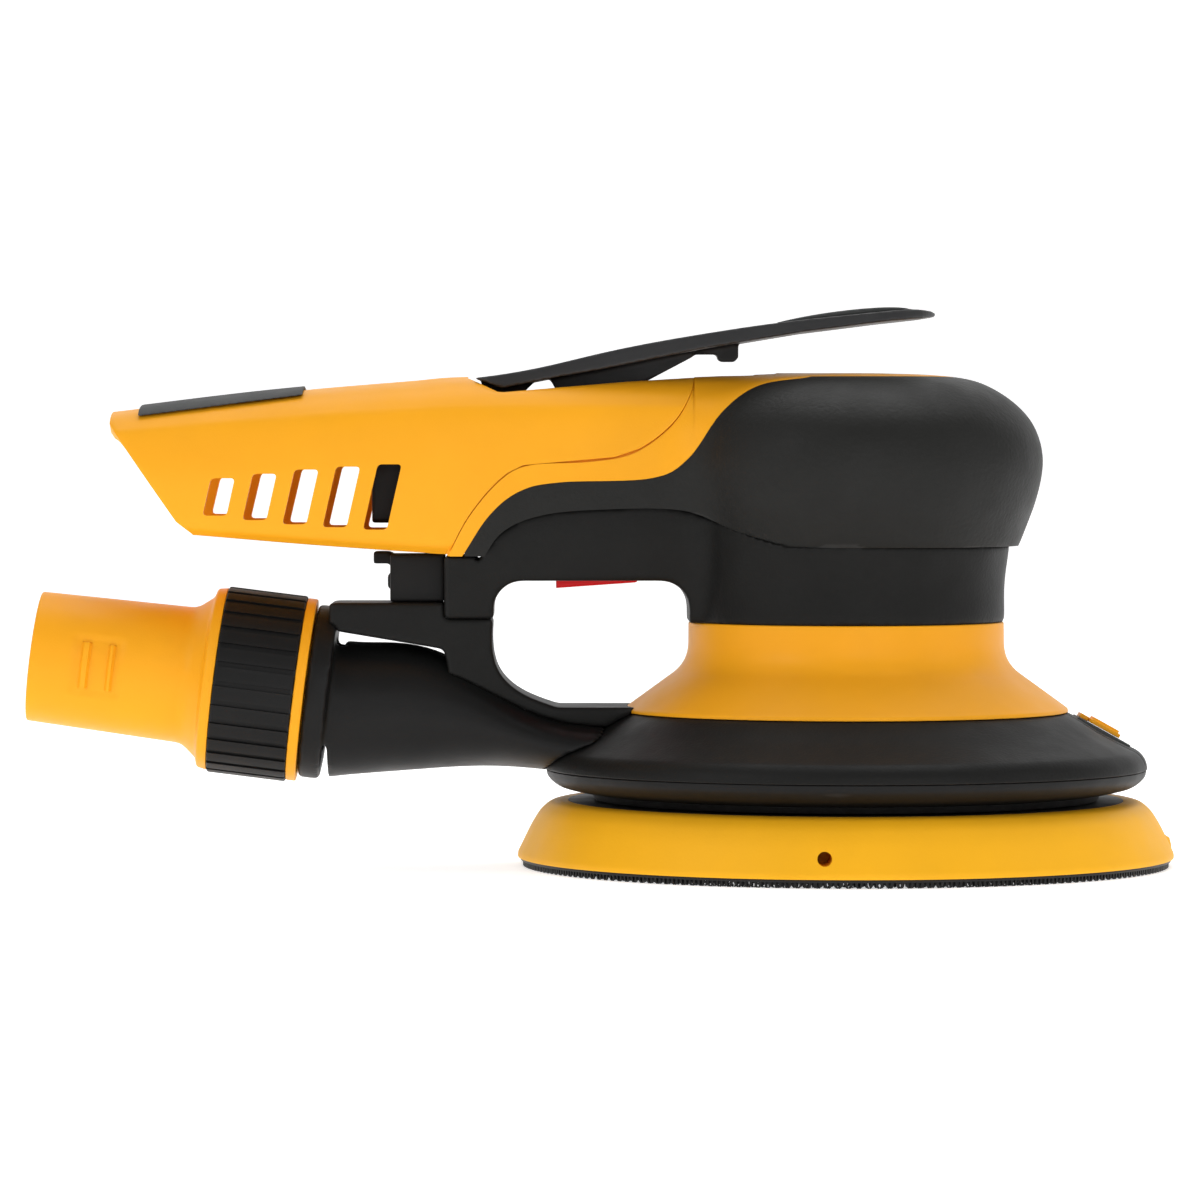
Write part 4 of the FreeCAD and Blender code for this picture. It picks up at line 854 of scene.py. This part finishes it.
def shell(name, zone, rows, finish, wall, inset=0.0, last_run=False):
    """One moulding of the skin: its columns, in strips where the zone leaves gaps, thickened inward."""
    columns = [fitted(skin_column(u), zone, rows, last_run) for u in sides_round]
    strips, strip = [], []
    for column in columns + [None]:
        if column is not None:
            strip.append(column)
        elif strip:
            strips.append(strip)
            strip = []
    points, faces = [], []
    for strip in strips:
        start = sum(len(p) for p in points)
        faces += [tuple(start + v for v in face) for face in sheet_faces(len(strip), rows)]
        points.append(np.concatenate(strip))
    points = np.concatenate(points)
    roof = np.interp(points[:, 0], (-110, -50.2, -34.5, -16, -15), (109.2, 110.4, 111.5, 112.3, 120))
    points[:, 2] = np.minimum(points[:, 2], roof)
    points[:, 1] -= np.sign(points[:, 1]) * inset
    piece = new_piece(name, points, faces, finish)
    thicken(piece, wall, 0.3, Vector((0, -1, 0)))
    return piece


upper = shell("upper_shell", yellow_zone, 46, yellow, 2.5, last_run=True)
tongue = shell("seam_tongue", seam_backing, 6, yellow, 1.0, inset=1.3)
finish_piece(upper, "housing", "yellow_plastic", "main_housing")
finish_piece(tongue, "housing", "yellow_plastic", "main_housing")
grip = shell("grip_rubber", rubber_area, 60, soft_black, 3.6)
finish_piece(grip, "housing", "black_rubber", "grip_overmould")

# %% [markdown]
# ## Rear cover
# The tail is its own moulding, an upturned trough with a closed floor that opens in a slanted mouth for the
# plug. The same idea serves: sections across the tail give the skin, and each run of it starts at the slanted
# mouth and ends at the S-shaped seam. Each station in the table has a place along the tail, a floor, a roof
# and a share of the full width. Two close pairs of columns mark the sides of the lever's slot.

# %% Rear cover skin
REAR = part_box("rear_cover")[0][0] / MM
POST = -91.6               # the rear face of the post; the free tail is behind it
stations = np.array(((-0.05, 77.6, 103.2, 0.0), (0.28, 75.6, 106.2, 0.5), (0.6, 73.6, 108.8, 0.85),
                     (0.9, 72.0, 110.7, 1.0), (1.05, 71.4, 111.6, 1.0), (1.4, 71.2, 111.9, 1.0),
                     (1.85, 71.2, 112.0, 1.0)))
run = through(np.column_stack([REAR + (POST - REAR) * stations[:, 0], stations[:, 1:]]), 60)
flank = ((0.76, 0.0), (0.90, 0.07), (0.965, 0.25), (1.0, 0.5), (0.93, 0.76), (0.81, 0.865), (0.61, 0.945),
         (0.32, 0.988))
section = through([(-w, h) for w, h in flank] + [(0, 1)] + [(w, h) for w, h in flank[::-1]], 6)
floor_run = [(w, 0.0) for w in np.linspace(0.76, -0.76, 9)[1:-1]]
SLOT_EDGE = 6.27           # half the width of the lever's slot in this skin
for share in (-0.290, -0.285, 0.285, 0.290):
    top = section[:, 1] > 0.9
    after = np.nonzero(top & (section[:, 0] > share))[0][0]
    section = np.insert(section, after, (share, np.interp(share, section[top, 0], section[top, 1])), axis=0)
section = np.vstack([section, floor_run])


def cover_zone(x, y, z):
    """Inside the slanted mouth and above the seam."""
    mouth = np.interp(z, (75.9, 78.8, 100.9, 101.0), (REAR + 18.8, REAR + 15.2, REAR, REAR))
    seam = line_height(S_SEAM, x, 0.0, 200.0)
    return np.minimum(x - mouth, z - seam - SEAM_GAP)


ROWS = 110
points = []
for wide, up in section:
    x, floor, roof, share = run.T
    half = 18.5 + 3.1 * share
    column = np.stack([x, half * wide, floor + (roof - floor) * up], 1)
    points.append(fitted(column, cover_zone, ROWS))
points = np.concatenate(points)
seat = np.interp(points[:, 0], (-85.9, -85.8, -79.0, -50.2, -34.7), (120, 111.1, 107.9, 110.4, 111.4))
points[:, 2] = np.minimum(points[:, 2], seat)

# %% [markdown]
# ## Slot and wall of the rear cover
# The lever's channel comes up through the roof, so the faces over it are left out, and so are the points that
# only they used. That is done on the sheet, before it gets its wall, so the slot's sides are closed as well.

# %% Rear cover wall
faces = np.array(sheet_faces(len(section), ROWS, True))
centres = points[faces].mean(axis=1)
over_slot = (np.abs(centres[:, 1]) < SLOT_EDGE) & (centres[:, 0] > SLOT_REAR) & (centres[:, 2] > 100)
used, faces = np.unique(faces[~over_slot], return_inverse=True)
rear_shell = new_piece("tail_cover", points[used], faces.reshape(-1, 4).tolist(), yellow)
thicken(rear_shell, 2.5, 0.3, Vector((0, -1, 0)))

# %% [markdown]
# ## Cooling windows
# Five windows on each side let the electronics breathe. They get shorter towards the rear as the tail does.
# They lean forward, and their corners are rounded so that the plastic doesn't crack from them. Each cutting
# tool goes through both sides at once, because the two sides are mirror images.

# %% Cooling windows
WINDOW_HALF, WINDOW_PITCH, WINDOW_HEIGHT = 2.7, 9.2, 84.4
LEAN = math.tan(math.radians(13))
tools = []
for index, tall in enumerate((14.7, 13.6, 12.3, 10.4, 8.4)):
    centre = POST - 13.7 - WINDOW_PITCH * index
    corners = [(centre + side * WINDOW_HALF + up * tall / 2 * LEAN, WINDOW_HEIGHT + up * tall / 2, 1.0)
               for side, up in ((-1, -1), (1, -1), (1, 1), (-1, 1))]
    tools.append(prism(soften(corners, 5), -40, 40))
carve(rear_shell, tools)
finish_piece(rear_shell, "housing", "yellow_plastic", "rear_cover")

# %% [markdown]
# ## Lever spring
# A small coil spring stands in the channel under the lever and pushes it back up. A coil is a circle carried
# along a helix, so we can place its rings one by one: each ring sits across the helix at its own turn. When the
# lever goes down the coil gets shorter.

# %% Lever spring
def coil(centre, radius, low, high, turns, wire, steps=22, ring=8):
    """Points and faces of a coil round an upright line at x = centre; wire is the radius of its wire."""
    turn_angle = np.linspace(0, 2 * math.pi * turns, int(turns * steps))
    around = np.linspace(0, 2 * math.pi, ring, endpoint=False)
    height = np.linspace(low, high, len(turn_angle))
    points = [(centre + (radius + wire * math.cos(b)) * math.cos(a), (radius + wire * math.cos(b)) * math.sin(a),
               z + wire * math.sin(b)) for a, z in zip(turn_angle, height) for b in around]
    faces = [(i * ring + j, i * ring + (j + 1) % ring, (i + 1) * ring + (j + 1) % ring, (i + 1) * ring + j)
             for i in range(len(turn_angle) - 1) for j in range(ring)]
    last = (len(turn_angle) - 1) * ring
    return np.array(points), faces + [tuple(range(ring))[::-1], tuple(range(last, last + ring))]


SPRING_X, TRAY_FLOOR = -58, 100.7
wound, faces = coil(SPRING_X, radius=2.4, low=101.1, high=107.75, turns=3.5, wire=0.33)
spring = new_piece("small_coil", wound, faces, steel)
finish_piece(spring, "housing", "steel", "lever_spring")
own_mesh(spring)

# %% [markdown]
# ## Soft edges on the pieces that keep their CAD shape
# Housing, arm, duct and lever already have the right shape, with edges as sharp as a drawing. A moulded
# edge has a radius of a few tenths of a millimetre, and it is that radius that catches the light. We could
# bevel, but where curved walls cross at all angles a bevel tears. Rebuilding the surface on a fine grid of
# voxels and relaxing it a little rounds every edge alike, inside and out, as handling and flow do.

# %% Soft edges
def relax(name, voxel, rounds, factor=0.5):
    """Rebuild a CAD piece's surface on a fine grid and relax it; the CAD vertices stay as they are."""
    piece = nodes[name]
    grid = piece.modifiers.new("fine_grid", "REMESH")
    grid.mode = "VOXEL"
    grid.voxel_size = voxel * MM
    grid.use_smooth_shade = True
    calm = piece.modifiers.new("relax", "SMOOTH")
    calm.factor = factor
    calm.iterations = rounds


for name, voxel, rounds in (("lower_housing", 0.6, 8), ("shroud_arm", 0.6, 8), ("exhaust_duct", 0.6, 10),
                            ("paddle_lever", 0.4, 4), ("lever_inlay", 0.3, 5), ("tail_pad", 0.25, 12),
                            ("power_button", 0.25, 5), ("tail_bracket", 0.4, 4), ("power_inlet", 0.4, 3),
                            ("latch_plate", 0.2, 3), ("latch_catch", 0.12, 3), ("release_slide", 0.12, 3)):
    relax(name, voxel, rounds)

# %% [markdown]
# ## Finishes on the pieces that keep their CAD shape
# One table says which node wears what. The pieces inside the tool only need a finish in their slots.

# %% Finishes for the CAD pieces
KEPT = {
    steel: ("lever_pin", "stator_core", "collar_screws", "bracket_screws", "lever_magnet",
            "motor_spindle", "rotor_core", "rotor_magnets", "counterweight", "pad_spindle", "pad_washer",
            "pad_screw"),
    bright_steel: ("lower_bearing", "upper_bearing", "pad_bearing_lower", "pad_bearing_upper"),
    alloy: ("board_capacitors", "heat_sink", "bearing_bracket", "top_bracket"),
    copper: ("stator_coils",),
    brass: ("inlet_pins",),
    board_green: ("controller_board",),
    smooth_black: ("lever_sensor", "button_switch", "cooling_fan", "backing_plate", "lever_tray",
                   "brake_seal", "swivel_seal", "power_inlet", "tail_bracket", "exhaust_duct"),
    black: ("lower_housing", "shroud_arm"),
    lever_black: ("paddle_lever",),
    inlay_grey: ("lever_inlay", "latch_plate"),
    pad_grey: ("tail_pad",),
    button_red: ("power_button",),
    yellow: ("latch_catch", "release_slide"),
}
for finish, names in KEPT.items():
    for name in names:
        for spot in nodes[name].material_slots:
            spot.material = finish
print("CAD pieces with a finish:", sum(len(names) for names in KEPT.values()))
